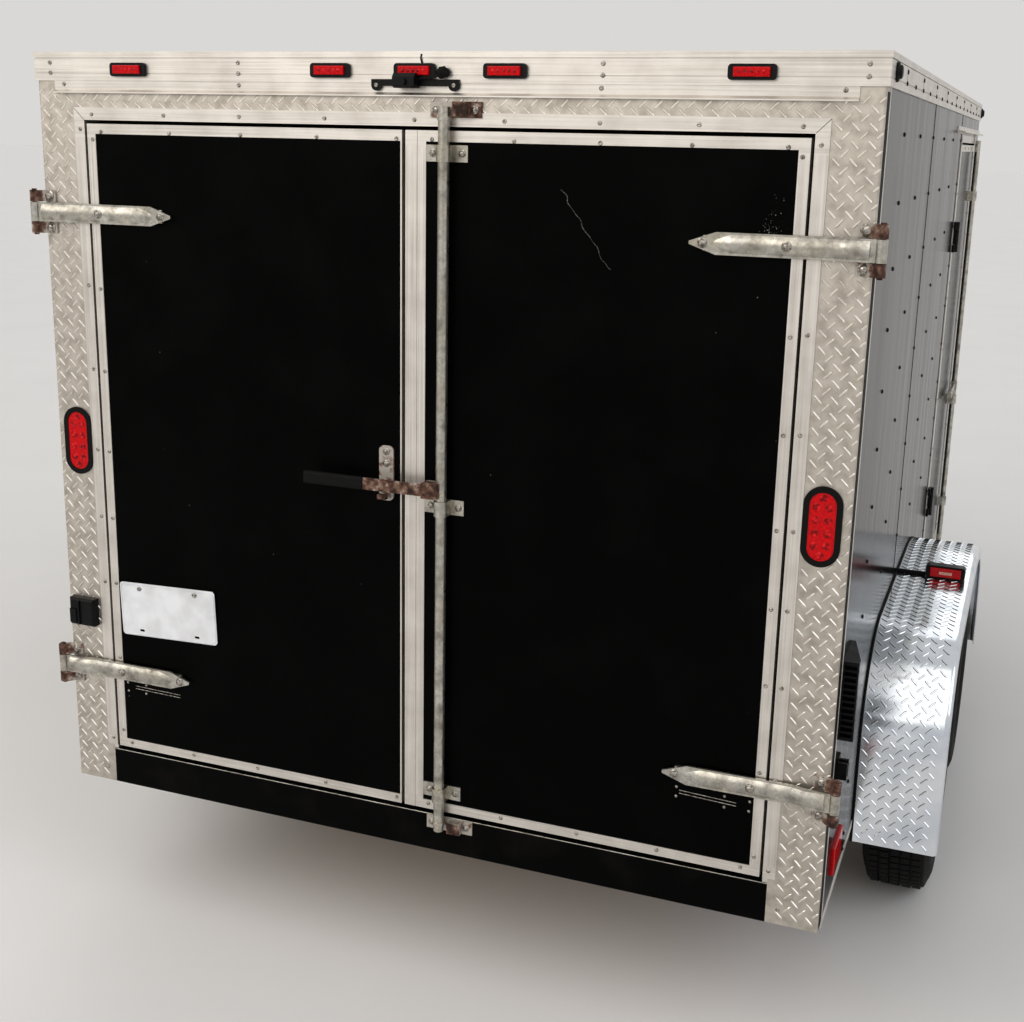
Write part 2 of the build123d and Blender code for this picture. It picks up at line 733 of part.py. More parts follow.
def strap_hinge(z):
    """A crowned strap that lies on the door, steps out past the post and rolls round the pin."""
    half = strap_height / 2
    tip = pin_x - strap_reach
    kink = pin_x - strap_kink_reach
    back = rear_y - strap_clear
    outer = back - strap_thickness
    step = pin_rearward - strap_clear - strap_thickness / 2
    point = half / 7
    flat = prism_y([(tip, z - point), (tip, z + point), (tip + strap_shoulder, z + half), (kink, z + half),
                    (kink, z - half), (tip + strap_shoulder, z - half)], (outer, back))
    bend = kink + strap_kink_run
    neck = prism_z([(kink - 1, back), (kink - 1, outer), (bend, outer - step), (pin_x, outer - step),
                    (pin_x, back - step), (bend + 4, back - step)], (z - half, z + half))
    pad = block((tip + 30, door_outer_x - door_trim_width), (back, rear_y), (z - half + 8, z + half - 8))
    pad += block((tip + 30, door_outer_x - 4), (back, rear_y - door_trim_face), (z - half + 8, z + half - 8))
    knuckle = rod_z(pin_x, pin_y, (z - half, z + half), knuckle_radius)
    bore = rod_z(pin_x, pin_y, (z - half - 1, z + half + 1), hinge_pin_radius + hinge_pin_clear)
    return flat + neck + pad + strap_ridge(z, tip, kink, outer, step) + knuckle - bore


def strap_ridge(z, tip, kink, outer, step):
    """The round ridge pressed along a strap: it runs out to a point near the tip and follows the step."""
    half = strap_crown_width / 2
    radius = (half ** 2 + strap_crown ** 2) / (2 * strap_crown)
    depth = radius - strap_crown
    start = tip + strap_crown_start
    full = start + strap_crown_taper
    end = pin_x - strap_crown_end

    def round_bar(x, y):
        return Pos((x[0] + x[1]) / 2, y + depth, z) * Rot(0, 90, 0) * Cylinder(radius, x[1] - x[0])

    def proud_of(x, y):
        return block(x, (y - strap_crown - 1, y), (z - half, z + half))

    point = Pos((start + full) / 2, outer + depth, z) * Rot(0, 90, 0) * Cone(depth, radius, strap_crown_taper)
    ridge = point & proud_of((start, full), outer)
    ridge += round_bar((full, kink + 2), outer) & proud_of((full, kink + 2), outer)
    bend = kink + strap_kink_run
    ridge += round_bar((bend - 2, end), outer - step) & proud_of((bend - 2, end), outer - step)
    run = math.hypot(strap_kink_run, step)
    lean = math.degrees(math.atan2(step, strap_kink_run))
    slope = Pos(kink + strap_kink_run / 2, outer - step / 2, z) * Rot(0, 0, -lean)
    bar = Pos(0, depth, 0) * Rot(0, 90, 0) * Cylinder(radius, run)
    window = block((-run / 2, run / 2), (-strap_crown - 1, 0), (-half, half))
    return ridge + slope * (bar & window)


def hinge_bracket(z):
    """The fixed half: an ear above and below the strap, the post plates behind them and the pin."""
    half = strap_height / 2 + ear_gap
    plate_inner = half_width - 37
    pieces = rod_z(pin_x, pin_y, (z - half - ear_height - 4, z + half + ear_height + 4), hinge_pin_radius)
    for side in (-1, 1):
        low, high = sorted((z + side * half, z + side * (half + ear_height)))
        pieces += block((plate_inner, half_width + 4), (rear_y - 5, rear_y), (low, high))
        pieces += prism_z([(half_width - 16, rear_y - 5), (pin_x - 6, rear_y - pin_rearward - knuckle_radius),
                           (pin_x + 4, rear_y - pin_rearward + 4), (half_width + 4, rear_y - 1)], (low, high))
        pieces += rod_z(pin_x, pin_y, (low, high), knuckle_radius)
    return pieces


def rod_lock():
    """Lock rod in three guides, its keepers on header and sill, the folded handle and the hasp."""
    y = rear_y - rod_rearward
    rod = rod_z(rod_x, y, (post_bottom + rod_bottom, post_bottom + rod_top), rod_radius)
    collars = [rod_z(rod_x, y, (post_bottom + at - 4, post_bottom + at + 4), rod_radius + 2.5)
               for at in (rod_bottom + 22, rod_top - 26)]
    for collar in collars:
        rod = rod + collar
    keep("lock_rod", rod)

    guides = []
    guide_start = centre_strip_left + centre_strip_width + 1
    for height in guide_heights:
        z = (post_bottom + height - guide_height / 2, post_bottom + height + guide_height / 2)
        outer = rod_radius + guide_wall
        guide = block((guide_start, rod_x + guide_reach), (rear_y - guide_plate, rear_y), z)
        guide += block((rod_x - outer, rod_x + outer), (y, rear_y), z) + rod_z(rod_x, y, z, outer)
        guides.append(guide - rod_z(rod_x, y, (z[0] - 1, z[1] + 1), rod_radius + 0.3))
    keep("rod_guides", guides)

    keepers = []
    hump_x = (rod_x + rod_radius + 8, rod_x + rod_radius + 8 + keeper_hump_width)
    x = (hump_x[1] + 28 - keeper_width, hump_x[1] + 28)
    upper = post_bottom + doorway_top + keeper_above_doorway
    for middle, back in ((deck_top - keeper_below_deck, rear_y), (upper, rear_y - frame_trim_face)):
        z = (middle - keeper_height / 2, middle + keeper_height / 2)
        plate = block(x, (back - 4, back), z)
        hump = block(hump_x, (back - keeper_hump_proud, back), (z[0] + 3, z[1] - 3))
        throat = block((hump_x[0] + 5, hump_x[1] - 5), (back - keeper_hump_proud + 5, back - 4), (z[0], z[1]))
        keepers.append(plate + (hump - throat))
    keep("rod_keepers", keepers)

    z = post_bottom + handle_height
    tip = rod_x - rod_radius - handle_length - 30
    bar_start = tip + grip_length
    handle_y = rear_y - handle_rearward
    half = handle_bar_height / 2
    clevis = block((rod_x - rod_radius - 29, rod_x), (handle_y - 8, y + rod_radius - 2),
                   (z - half - 4, z + half + 4))
    clevis = clevis - rod_z(rod_x, y, (z - 99, z + 99), rod_radius)
    bar = block((bar_start - 30, rod_x - rod_radius - 25),
                (handle_y - handle_bar_thickness / 2, handle_y + handle_bar_thickness / 2), (z - half, z + half))
    keep("lock_handle", clevis + bar)
    grip = block((tip, bar_start), (handle_y - grip_thickness / 2, handle_y + grip_thickness / 2),
                 (z - grip_height / 2, z + grip_height / 2))
    grip = fillet(grip.edges().filter_by(Axis.X), 7)
    keep("lock_grip", grip - bar)

    x = (hasp_left, hasp_left + hasp_width)
    low = post_bottom + hasp_bottom
    plate = block(x, (rear_y - 5, rear_y), (low, low + hasp_length))
    plate = fillet(plate.edges().filter_by(Axis.Y), hasp_width / 3)
    shelf = block((x[0] + 8, x[1] - 8), (rear_y - hasp_shelf_proud, rear_y - 5),
                  (low + 9, low + 9 + hasp_shelf_thickness))
    keep("door_hasp", plate + shelf)


def side_door():
    """Side door with edge trim, the flanged frame round it, hinges, bar lock and drip cap."""
    inside = half_width - wall_thickness
    y = (side_door_rear, side_door_front)
    z = (side_door_bottom, side_door_top)
    edge = door_trim_width
    panel = block((inside, half_width), (y[0] + edge, y[1] - edge), (z[0] + edge, z[1] - edge))
    keep("side_door_panel", panel)
    face = half_width + door_trim_face
    trim = block((inside, face), y, z)
    trim = trim - block((inside - 1, face + 1), (y[0] + edge, y[1] - edge), (z[0] + edge, z[1] - edge))
    keep("side_door_trim", trim)

    gap = side_door_gap
    wide = side_frame_width
    flange = block((half_width, half_width + side_frame_face), (y[0] - gap - wide, y[1] + gap + wide),
                   (z[0] - gap - wide, z[1] + gap + wide))
    flange = flange - block((half_width - 1, half_width + 9), (y[0] - gap, y[1] + gap),
                            (z[0] - gap, z[1] + gap))

    pin = (half_width + side_pin_outboard, side_door_rear - side_pin_behind)
    leaves = []
    blocks = []
    half = side_hinge_half
    for height in side_hinge_heights:
        middle = post_bottom + height
        knuckle = rod_z(*pin, (middle - half, middle + half), 9)
        leaf = block((half_width + 4, half_width + 10), (pin[1], y[0] + 60), (middle - half, middle + half))
        leaf += block((half_width + door_trim_face, half_width + 5), (y[0] + 3, y[0] + edge),
                      (middle - half, middle + half))
        bore = rod_z(*pin, (middle - half - 1, middle + half + 1), 5.5)
        leaves.append(knuckle + leaf - bore)
        reach = half + 1 + side_hinge_block
        fixed = rod_z(*pin, (middle - reach, middle + reach), 5)
        for side in (-1, 1):
            low, high = sorted((middle + side * (half + 1), middle + side * reach))
            fixed += rod_z(*pin, (low, high), 9)
            fixed += block((half_width + side_frame_face, half_width + 12), (pin[1] - 34, pin[1]), (low, high))
        blocks.append(fixed)
    keep("side_door_hinges", leaves)
    keep("side_hinge_blocks", blocks)

    bar_y = side_door_front - side_bar_inset
    bar_x = half_width + side_bar_proud + side_bar_radius - 6
    past = side_bar_past_door
    bar = rod_z(bar_x, bar_y, (z[0] - past, z[1] + past), side_bar_radius)
    for height in side_bar_guides:
        low = post_bottom + height - side_guide_height / 2
        plate = block((half_width, half_width + 4),
                      (bar_y - side_guide_half_width, bar_y + side_guide_half_width),
                      (low, low + side_guide_height))
        saddle = block((half_width, bar_x), (bar_y - side_bar_radius - 4, bar_y + side_bar_radius + 4),
                       (low, low + side_guide_height))
        bar += plate + saddle + rod_z(bar_x, bar_y, (low, low + side_guide_height), side_bar_radius + 4)
    low = post_bottom + side_bar_guides[1] + side_handle_level
    high = low + side_handle_height
    grip_y = bar_y - side_handle_length
    bar += block((bar_x - 4, bar_x + 4), (grip_y, bar_y), (low, high))
    grip = block((bar_x - 9, bar_x + 9), (grip_y, grip_y + side_handle_grip), (low - 2, high + 2))
    bar += fillet(grip.edges().filter_by(Axis.Y), 6)
    bar += block((bar_x - 14, bar_x + 12), (bar_y - 18, bar_y + 18), (low - 6, high + 6))
    keep("side_door_bar", bar)
    keepers = [flange]
    for side, edge_z in ((-1, z[0] - gap), (1, z[1] + gap)):
        low, high = sorted((edge_z, edge_z + side * 40))
        keepers.append(block((half_width + side_frame_face, half_width + side_frame_face + 5),
                             (bar_y + 18, bar_y + 62), (low, high)))
    keep("side_door_frame", keepers)

    cap_z = z[1] + gap + side_frame_width + drip_cap_above_frame
    lip = half_width + drip_cap_proud
    cap = prism_y([(half_width, cap_z - 12), (half_width, cap_z + 14), (half_width + 3, cap_z + 14),
                   (half_width + 5, cap_z + 3), (lip, cap_z - 2), (lip, cap_z - 8), (lip - 3, cap_z - 8),
                   (lip - 3, cap_z - 5), (half_width + 3, cap_z), (half_width + 3, cap_z - 12)],
                  (y[0] - drip_cap_past_door, y[1] + drip_cap_past_door))
    ends = prism_z([(half_width, y[0] - drip_cap_past_door), (half_width + 4, y[0] - drip_cap_past_door),
                    (lip, y[0] - drip_cap_past_door + 60), (lip, y[1] + drip_cap_past_door - 60),
                    (half_width + 4, y[1] + drip_cap_past_door), (half_width, y[1] + drip_cap_past_door)],
                   (cap_z - 13, cap_z + 15))
    keep("side_drip_cap", cap & ends)


def fenders():
    """Tread-plate fenders: tight curve at the rear, long curve at the front, rolled lip and a lamp on top."""
    y0 = rear_y + fender_rear
    y1 = y0 + fender_length
    z0 = post_bottom + fender_bottom
    z1 = post_bottom + fender_top
    x0 = half_width + fender_wall_gap

    def profile(inset):
        radius = fender_rear_radius - inset
        left, right, top = y0 + inset, y1 - inset, z1 - inset
        run = fender_front_run - inset
        up = Line((left, z0), (left, top - radius))
        rear_arc = JernArc(start=(left, top - radius), tangent=(0, 1), radius=radius, arc_size=-90)
        flat = Line((left + radius, top), (right - run, top))
        sweep_down = EllipticalCenterArc((right - run, z0), run, top - z0, arc_size=90)
        floor = Line((right, z0), (left, z0))
        return Plane.YZ * make_face(Curve() + [up, rear_arc, flat, sweep_down, floor])

    def rolled(inset, width, radius):
        solid = extrude(profile(inset), amount=width, dir=(1, 0, 0))
        edges = solid.faces().sort_by(Axis.X)[-1].edges()
        return fillet([edge for edge in edges if edge.bounding_box().max.Z > z0 + 1], radius)

    width = fender_outer - x0
    inside = rolled(fender_sheet, width - fender_sheet, fender_edge_radius - fender_sheet)
    lip_hole = extrude(profile(fender_lip), amount=width + 9, dir=(1, 0, 0))
    solid = rolled(0, width, fender_edge_radius) - inside - Pos(-1, 0, 0) * lip_hole
    solid = Pos(x0, 0, 0) * solid
    keep("fender_right", solid)
    keep("fender_left", other_side(solid))


def running_gear():
    """Drop axles, leaf springs, hangers with equalisers, rims with hubs and drums, and tyres."""
    spring_x = half_width - skin_thickness - rail_width / 2
    eye_z = frame_bottom - spring_eye_drop
    axle_z = tyre_radius - axle_drop
    axles = []
    springs = []
    hangers = []
    middle_y = rear_y + axle_middle
    for step in (-1, 1):
        y = middle_y + step * axle_spacing / 2
        tube_end = wheel_track_half - axle_tube_short
        half = spindle_radius + 14
        axle = rod_across((-tube_end, tube_end), y, axle_z, axle_tube_radius)
        arm = block((tube_end - 20, tube_end + 6), (y - half, y + half),
                    (axle_z - axle_tube_radius, tyre_radius + half))
        arm = fillet(arm.edges().filter_by(Axis.X), 16)
        arm += rod_across((tube_end + 2, tube_end + 80), y, tyre_radius, spindle_radius)
        arm += rod_across((tube_end + 10, tube_end + 14), y, tyre_radius, brake_plate_radius)
        axle = axle + arm + other_side(arm)
        axles.append(axle)
        springs += both_sides(leaf_spring(spring_x, y, eye_z, axle_z + axle_tube_radius))
    keep("axles", axles)
    keep("leaf_springs", springs)

    reach = (axle_spacing + spring_span) / 2
    gap = (axle_spacing - spring_span) / 2
    for y in (middle_y - reach, middle_y + reach):
        cheeks = hanger_cheeks([(y - 30, frame_bottom), (y + 30, frame_bottom), (y + 16, eye_z - 16),
                                (y - 16, eye_z - 16)], spring_x, 0.5)
        hangers += both_sides(cheeks + eye_bolt(spring_x, y, eye_z, 6))
    beam = hanger_cheeks([(middle_y - gap - 16, eye_z - 16), (middle_y - gap - 16, eye_z + 14),
                          (middle_y - 40, eye_z + 24), (middle_y + 40, eye_z + 24),
                          (middle_y + gap + 16, eye_z + 14), (middle_y + gap + 16, eye_z - 16),
                          (middle_y + 40, eye_z - 8), (middle_y - 40, eye_z - 8)], spring_x, 0.5)
    beam += eye_bolt(spring_x, middle_y - gap, eye_z, 6) + eye_bolt(spring_x, middle_y + gap, eye_z, 6)
    beam = beam - rod_across((spring_x - 60, spring_x + 60), middle_y, eye_z + 8, bolt_radius + 0.3)
    hangers += both_sides(beam)
    post = hanger_cheeks([(middle_y - 45, frame_bottom), (middle_y + 45, frame_bottom), (middle_y + 20, eye_z - 8),
                          (middle_y - 20, eye_z - 8)], spring_x, 6)
    hangers += both_sides(post + eye_bolt(spring_x, middle_y, eye_z + 8, 11))
    keep("spring_hangers", hangers)

    for step, name in ((-1, "rear"), (1, "front")):
        y = middle_y + step * axle_spacing / 2
        place = Pos(wheel_track_half, y, tyre_radius)
        rim = place * wheel_rim()
        tyre = place * wheel_tyre()
        keep(f"rim_{name}_right", rim)
        keep(f"rim_{name}_left", other_side(rim))
        keep(f"tyre_{name}_right", tyre)
        keep(f"tyre_{name}_left", other_side(tyre))


def hanger_cheeks(outline, x, gap):
    """Two like plates, one each side of a spring eye."""
    inner = leaf_width / 2 + gap
    outer = inner + cheek_thickness
    return prism_x(outline, (x + inner, x + outer)) + prism_x(outline, (x - outer, x - inner))


def eye_bolt(x, y, z, reach):
    """The bolt through an eye and both cheeks beside it, with its head and nut."""
    outer = leaf_width / 2 + reach
    bolt = rod_across((x - outer, x + outer), y, z, bolt_radius)
    head = rod_across((x + outer - 1, x + outer + 8), y, z, bolt_head_radius)
    return bolt + head + rod_across((x - outer - 8, x - outer + 1), y, z, bolt_head_radius)


def leaf_spring(x, y, eye_z, seat_z):
    """Four curved leaves, an eye at each end, the seat on the axle and the tie plate under it."""
    half = spring_span / 2
    radius = (half ** 2 + spring_camber ** 2) / (2 * spring_camber)
    arc_z = eye_z - spring_camber + radius
    spring = None
    for leaf in range(leaf_count):
        outer = radius + leaf * leaf_thickness + leaf_thickness
        inner = radius + leaf * leaf_thickness
        ring = Cylinder(outer, leaf_width) - Cylinder(inner, leaf_width)
        ring = Pos(x, y, arc_z) * Rot(0, 90, 0) * ring
        reach = half * (1 - 0.2 * leaf)
        ring = ring & block((x - 50, x + 50), (y - reach, y + reach), (0, eye_z + 20))
        spring = ring if spring is None else spring + ring
    for side in (-1, 1):
        spring += rod_across((x - leaf_width / 2, x + leaf_width / 2), y + side * half, eye_z, 14)
        spring = spring - rod_across((x - 30, x + 30), y + side * half, eye_z, bolt_radius + 0.3)
    pack_bottom = eye_z - spring_camber - leaf_count * leaf_thickness
    seat_half = leaf_width / 2 + 5
    plate_bottom = eye_z - spring_camber
    spring += block((x - seat_half, x + seat_half), (y - 40, y + 40), (seat_z, pack_bottom + 6))
    spring += block((x - seat_half, x + seat_half), (y - 46, y + 46), (plate_bottom, plate_bottom + 12))
    return spring


def wheel_rim():
    """Fifteen-inch spoked steel rim, hub with a grease cap and the brake drum, turned about X."""
    half = rim_width / 2
    bead = rim_radius
    wall = 4.0
    outline = [(-half - 7, bead + 15), (-half - 1, bead + 15), (-half, bead), (-42, bead - 2), (-34, bead - 20),
               (16, bead - 20), (26, bead - 2), (half, bead), (half + 1, bead + 15), (half + 7, bead + 15),
               (half + 7, bead + 15 - wall), (half + 4, bead + 10), (half + 3, bead - wall), (28, bead - 2 - wall),
               (19, bead - 20 - wall), (-37, bead - 20 - wall), (-45, bead - 2 - wall), (-half - 3, bead - wall),
               (-half - 4, bead + 10), (-half - 7, bead + 15 - wall)]
    rim = revolve(make_face(Polyline(*outline, close=True)), Axis.X)
    dish = [(0, 30), (0, 86), (20, 118), (22, 140), (2, bead - 22), (-5, bead - 22), (14, 138), (13, 120), (-6, 90),
            (-6, 30)]
    disc = revolve(make_face(Polyline(*dish, close=True)), Axis.X)
    for turn in range(8):
        slot = extrude(SlotOverall(rim_window_length, rim_window_width, rotation=90), 60, both=True)
        disc = disc - Rot(turn * 45, 0, 0) * Pos(0, 0, rim_window_circle) * Rot(0, 90, 0) * slot
    hub = [(0, 21), (-6, 21), (-72, 21), (-72, 34), (-18, 34), (-18, 118), (-70, 118), (-70, 127), (-6, 127),
           (-6, 90), (0, 76), (0, 38), (44, 36), (58, 26), (58, 0), (6, 0), (6, 21)]
    drum = revolve(make_face(Polyline(*hub, close=True)), Axis.X)
    return rim + disc + drum


def wheel_tyre():
    """Radial trailer tyre: beads on the rim, bulged sidewalls, rounded shoulders and four tread grooves."""
    half = tyre_width / 2
    bead = rim_radius
    seat = rim_width / 2 - 0.3
    tread = 74.0
    crown = tyre_radius
    edges = []
    for side in (1, -1):
        edges.append(Polyline((side * seat, bead), (side * seat, bead + 17), (side * (seat + 14), bead + 19)))
        edges.append(ThreePointArc((side * (seat + 14), bead + 19), (side * half, (bead + crown) / 2 - 4),
                                   (side * (tread + 12), crown - 22)))
        edges.append(ThreePointArc((side * (tread + 12), crown - 22), (side * (tread + 7), crown - 9),
                                   (side * tread, crown - 3)))
    edges.append(Line((seat, bead), (-seat, bead)))
    edges.append(ThreePointArc((tread, crown - 3), (0, crown), (-tread, crown - 3)))
    section = make_face(Curve() + edges)
    for groove in (-45, -15, 15, 45):
        section = section - Pos(groove, crown) * Rectangle(7, 16)
    return revolve(section, Axis.X)


floor_frame()
coupler()
jack()
body_shell()
rear_frame()
tail_lamps()
small_lamps()
side_fittings()
rear_fittings()
rear_doors()
rod_lock()
side_door()
fenders()
running_gear()

os.makedirs("parts", exist_ok=True)
for node, solids in parts.items():
    export_step(solids[0] if len(solids) == 1 else Compound(children=solids), f"parts/{node}.step")
print(len(parts), "nodes")
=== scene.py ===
import json
import math

import bpy
import bmesh
from mathutils import Matrix, Vector, noise


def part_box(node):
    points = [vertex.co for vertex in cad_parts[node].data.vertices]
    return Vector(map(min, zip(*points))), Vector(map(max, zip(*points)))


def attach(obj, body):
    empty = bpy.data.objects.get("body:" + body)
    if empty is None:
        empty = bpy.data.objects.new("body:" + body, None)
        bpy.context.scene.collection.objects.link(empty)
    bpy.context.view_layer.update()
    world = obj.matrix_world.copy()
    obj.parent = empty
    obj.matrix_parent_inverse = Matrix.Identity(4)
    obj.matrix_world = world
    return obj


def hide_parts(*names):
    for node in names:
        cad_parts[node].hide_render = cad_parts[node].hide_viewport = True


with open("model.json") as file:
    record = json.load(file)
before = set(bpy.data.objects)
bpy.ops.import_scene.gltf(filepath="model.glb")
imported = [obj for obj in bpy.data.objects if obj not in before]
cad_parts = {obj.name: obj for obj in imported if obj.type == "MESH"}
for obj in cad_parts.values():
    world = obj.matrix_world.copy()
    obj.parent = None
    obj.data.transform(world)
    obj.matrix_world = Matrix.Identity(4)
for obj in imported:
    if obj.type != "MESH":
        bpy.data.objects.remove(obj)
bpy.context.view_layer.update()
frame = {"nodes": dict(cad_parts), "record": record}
mm = 0.001

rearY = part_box("rear_frame")[0].y
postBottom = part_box("rear_frame")[0].z
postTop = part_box("rear_frame")[1].z
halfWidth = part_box("rear_frame")[1].x
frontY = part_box("wall_front")[1].y
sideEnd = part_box("wall_front")[0].y
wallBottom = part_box("wall_left")[0].z
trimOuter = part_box("doorway_trim")[1].x
sideDoorLow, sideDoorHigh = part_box("side_door_trim")
fenderLow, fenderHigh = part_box("fender_right")
roofTrimLow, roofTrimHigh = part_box("roof_trim")
back = Vector((0, -1, 0))
up = Vector((0, 0, 1))
curb = Vector((1, 0, 0))
forward = Vector((0, 1, 0))
print("frame loaded", len(frame["nodes"]), "nodes")


# x from the middle, depth forward from the rear face and height over the posts' foot, all in mm
def fromRear(x, depth, height):
    return Vector((x * mm, rearY + depth * mm, postBottom + height * mm))


def colour(code):
    channels = [int(code[i:i + 2], 16) / 255 for i in (1, 3, 5)]
    return (*[c / 12.92 if c <= 0.04045 else ((c + 0.055) / 1.055) ** 2.4 for c in channels], 1.0)


# a node stands for its first output
def outputOf(source):
    return source.outputs[0] if hasattr(source, "outputs") else source


# a kind without "Node" in its name is a shader node; links and values go by the input's name or number
def addNode(tree, kind, links=None, values=None, stops=None, **settings):
    node = tree.nodes.new(kind if "Node" in kind else "ShaderNode" + kind)
    for name, value in settings.items():
        setattr(node, name, value)
    for name, value in (values or {}).items():
        node.inputs[name].default_value = value
    for name, source in (links or {}).items():
        tree.links.new(outputOf(source), node.inputs[name])
    for i, (place, code) in enumerate(stops or []):
        element = node.color_ramp.elements[i] if i < 2 else node.color_ramp.elements.new(place)
        element.position = place
        element.color = colour(code)
    return node


def startMaterial(name, base, roughness, metallic=0.0, ior=None, specular=None, coat=None):
    material = bpy.data.materials.new(name)
    material.use_nodes = True
    tree = material.node_tree
    shader = tree.nodes["Principled BSDF"]
    shader.inputs["Base Color"].default_value = colour(base)
    shader.inputs["Roughness"].default_value = roughness
    shader.inputs["Metallic"].default_value = metallic
    if ior:
        shader.inputs["IOR"].default_value = ior
    if specular is not None:
        shader.inputs["Specular IOR Level"].default_value = specular
    if coat:
        shader.inputs["Coat Weight"].default_value, shader.inputs["Coat Roughness"].default_value = coat
    return material, tree, addNode(tree, "TexCoord").outputs["Object"]


def finishMaterial(material, base, gloss=None, relief=None):
    shader = material.node_tree.nodes["Principled BSDF"]
    for name, source in (("Base Color", base), ("Roughness", gloss), ("Normal", relief)):
        if source is not None:
            material.node_tree.links.new(outputOf(source), shader.inputs[name])
    return material


# a finish whose cloud turns its colour and its gloss, over a relief of its own or of the same cloud;
# a pattern is its kind, size in mm and detail, and the relief's depth is in mm
def cloudedFinish(name, finish, **surface):
    material, tree, coords = startMaterial(name, **surface)
    patterns = [addNode(tree, kind, {"Vector": coords}, {"Scale": 1000 / size, "Detail": detail})
                for kind, size, detail in (finish[use] for use in ("cloud", "grain") if use in finish)]
    base = addNode(tree, "ValToRGB", {"Fac": patterns[0]}, stops=finish["colours"])
    gloss = addNode(tree, "MapRange", {"Value": patterns[0]}, dict(enumerate(finish["gloss"], 1)))
    relief = addNode(tree, "Bump", {"Height": patterns[-1]}, {"Distance": finish["depth"] * mm})
    return finishMaterial(material, base, gloss, relief)


# bare plywood on the inner faces, with its grain along the stretched coordinates
def plywoodLining(tree, stretched):
    wood = {"grain": 14, "late": "#94703f", "early": "#c7a574"}
    grain = addNode(tree, "TexNoise", {"Vector": stretched}, {"Scale": 1000 / wood["grain"], "Detail": 6.0})
    return addNode(tree, "ValToRGB", {"Fac": grain}, stops=[(0.3, wood["late"]), (0.7, wood["early"])])


# Black enamel on thin aluminium skin: a near mirror, drawn out upright by the sheet, with plywood lining inside
def blackEnamelSkin():
    finish = {"paint": "#08090a", "veil": "#111111", "streak": 70, "wave": 260, "waveDepth": 0.25, "lining": 37.5}
    material, tree, coords = startMaterial("blackEnamelSkin", finish["paint"], 0.2, ior=1.5, specular=0.025)
    tall = addNode(tree, "Mapping", {"Vector": coords}, {"Scale": (1, 1, 0.06)})
    streak = addNode(tree, "TexNoise", {"Vector": tall}, {"Scale": 1000 / finish["streak"], "Detail": 2.0})
    wave = addNode(tree, "TexNoise", {"Vector": tall}, {"Scale": 1000 / finish["wave"], "Detail": 1.0})
    paint = addNode(tree, "ValToRGB", {"Fac": streak}, stops=[(0.4, finish["paint"]), (0.75, finish["veil"])])
    gloss = addNode(tree, "MapRange", {"Value": streak}, {1: 0.35, 2: 0.7, 3: 0.14, 4: 0.2})
    lining = plywoodLining(tree, addNode(tree, "Mapping", {"Vector": coords}, {"Scale": (1, 0.04, 1)}))
    place = addNode(tree, "SeparateXYZ", {"Vector": coords}).outputs
    across = addNode(tree, "Math", {0: place["X"]}, operation="ABSOLUTE")
    depth = finish["lining"] * mm
    sideways, behind = [addNode(tree, "Math", {0: source}, {1: face - depth}, operation="LESS_THAN")
                        for source, face in ((across, halfWidth), (place["Y"], frontY))]
    inside = addNode(tree, "Math", {0: sideways, 1: behind}, operation="MULTIPLY")
    skin = addNode(tree, "Mix", {"Factor": inside, 6: paint, 7: lining}, data_type="RGBA")
    rough = addNode(tree, "MapRange", {"Value": inside, 3: gloss}, {4: 0.6})
    relief = addNode(tree, "Bump", {"Height": wave}, {"Distance": finish["waveDepth"] * mm})
    return finishMaterial(material, skin.outputs[2], rough, relief)


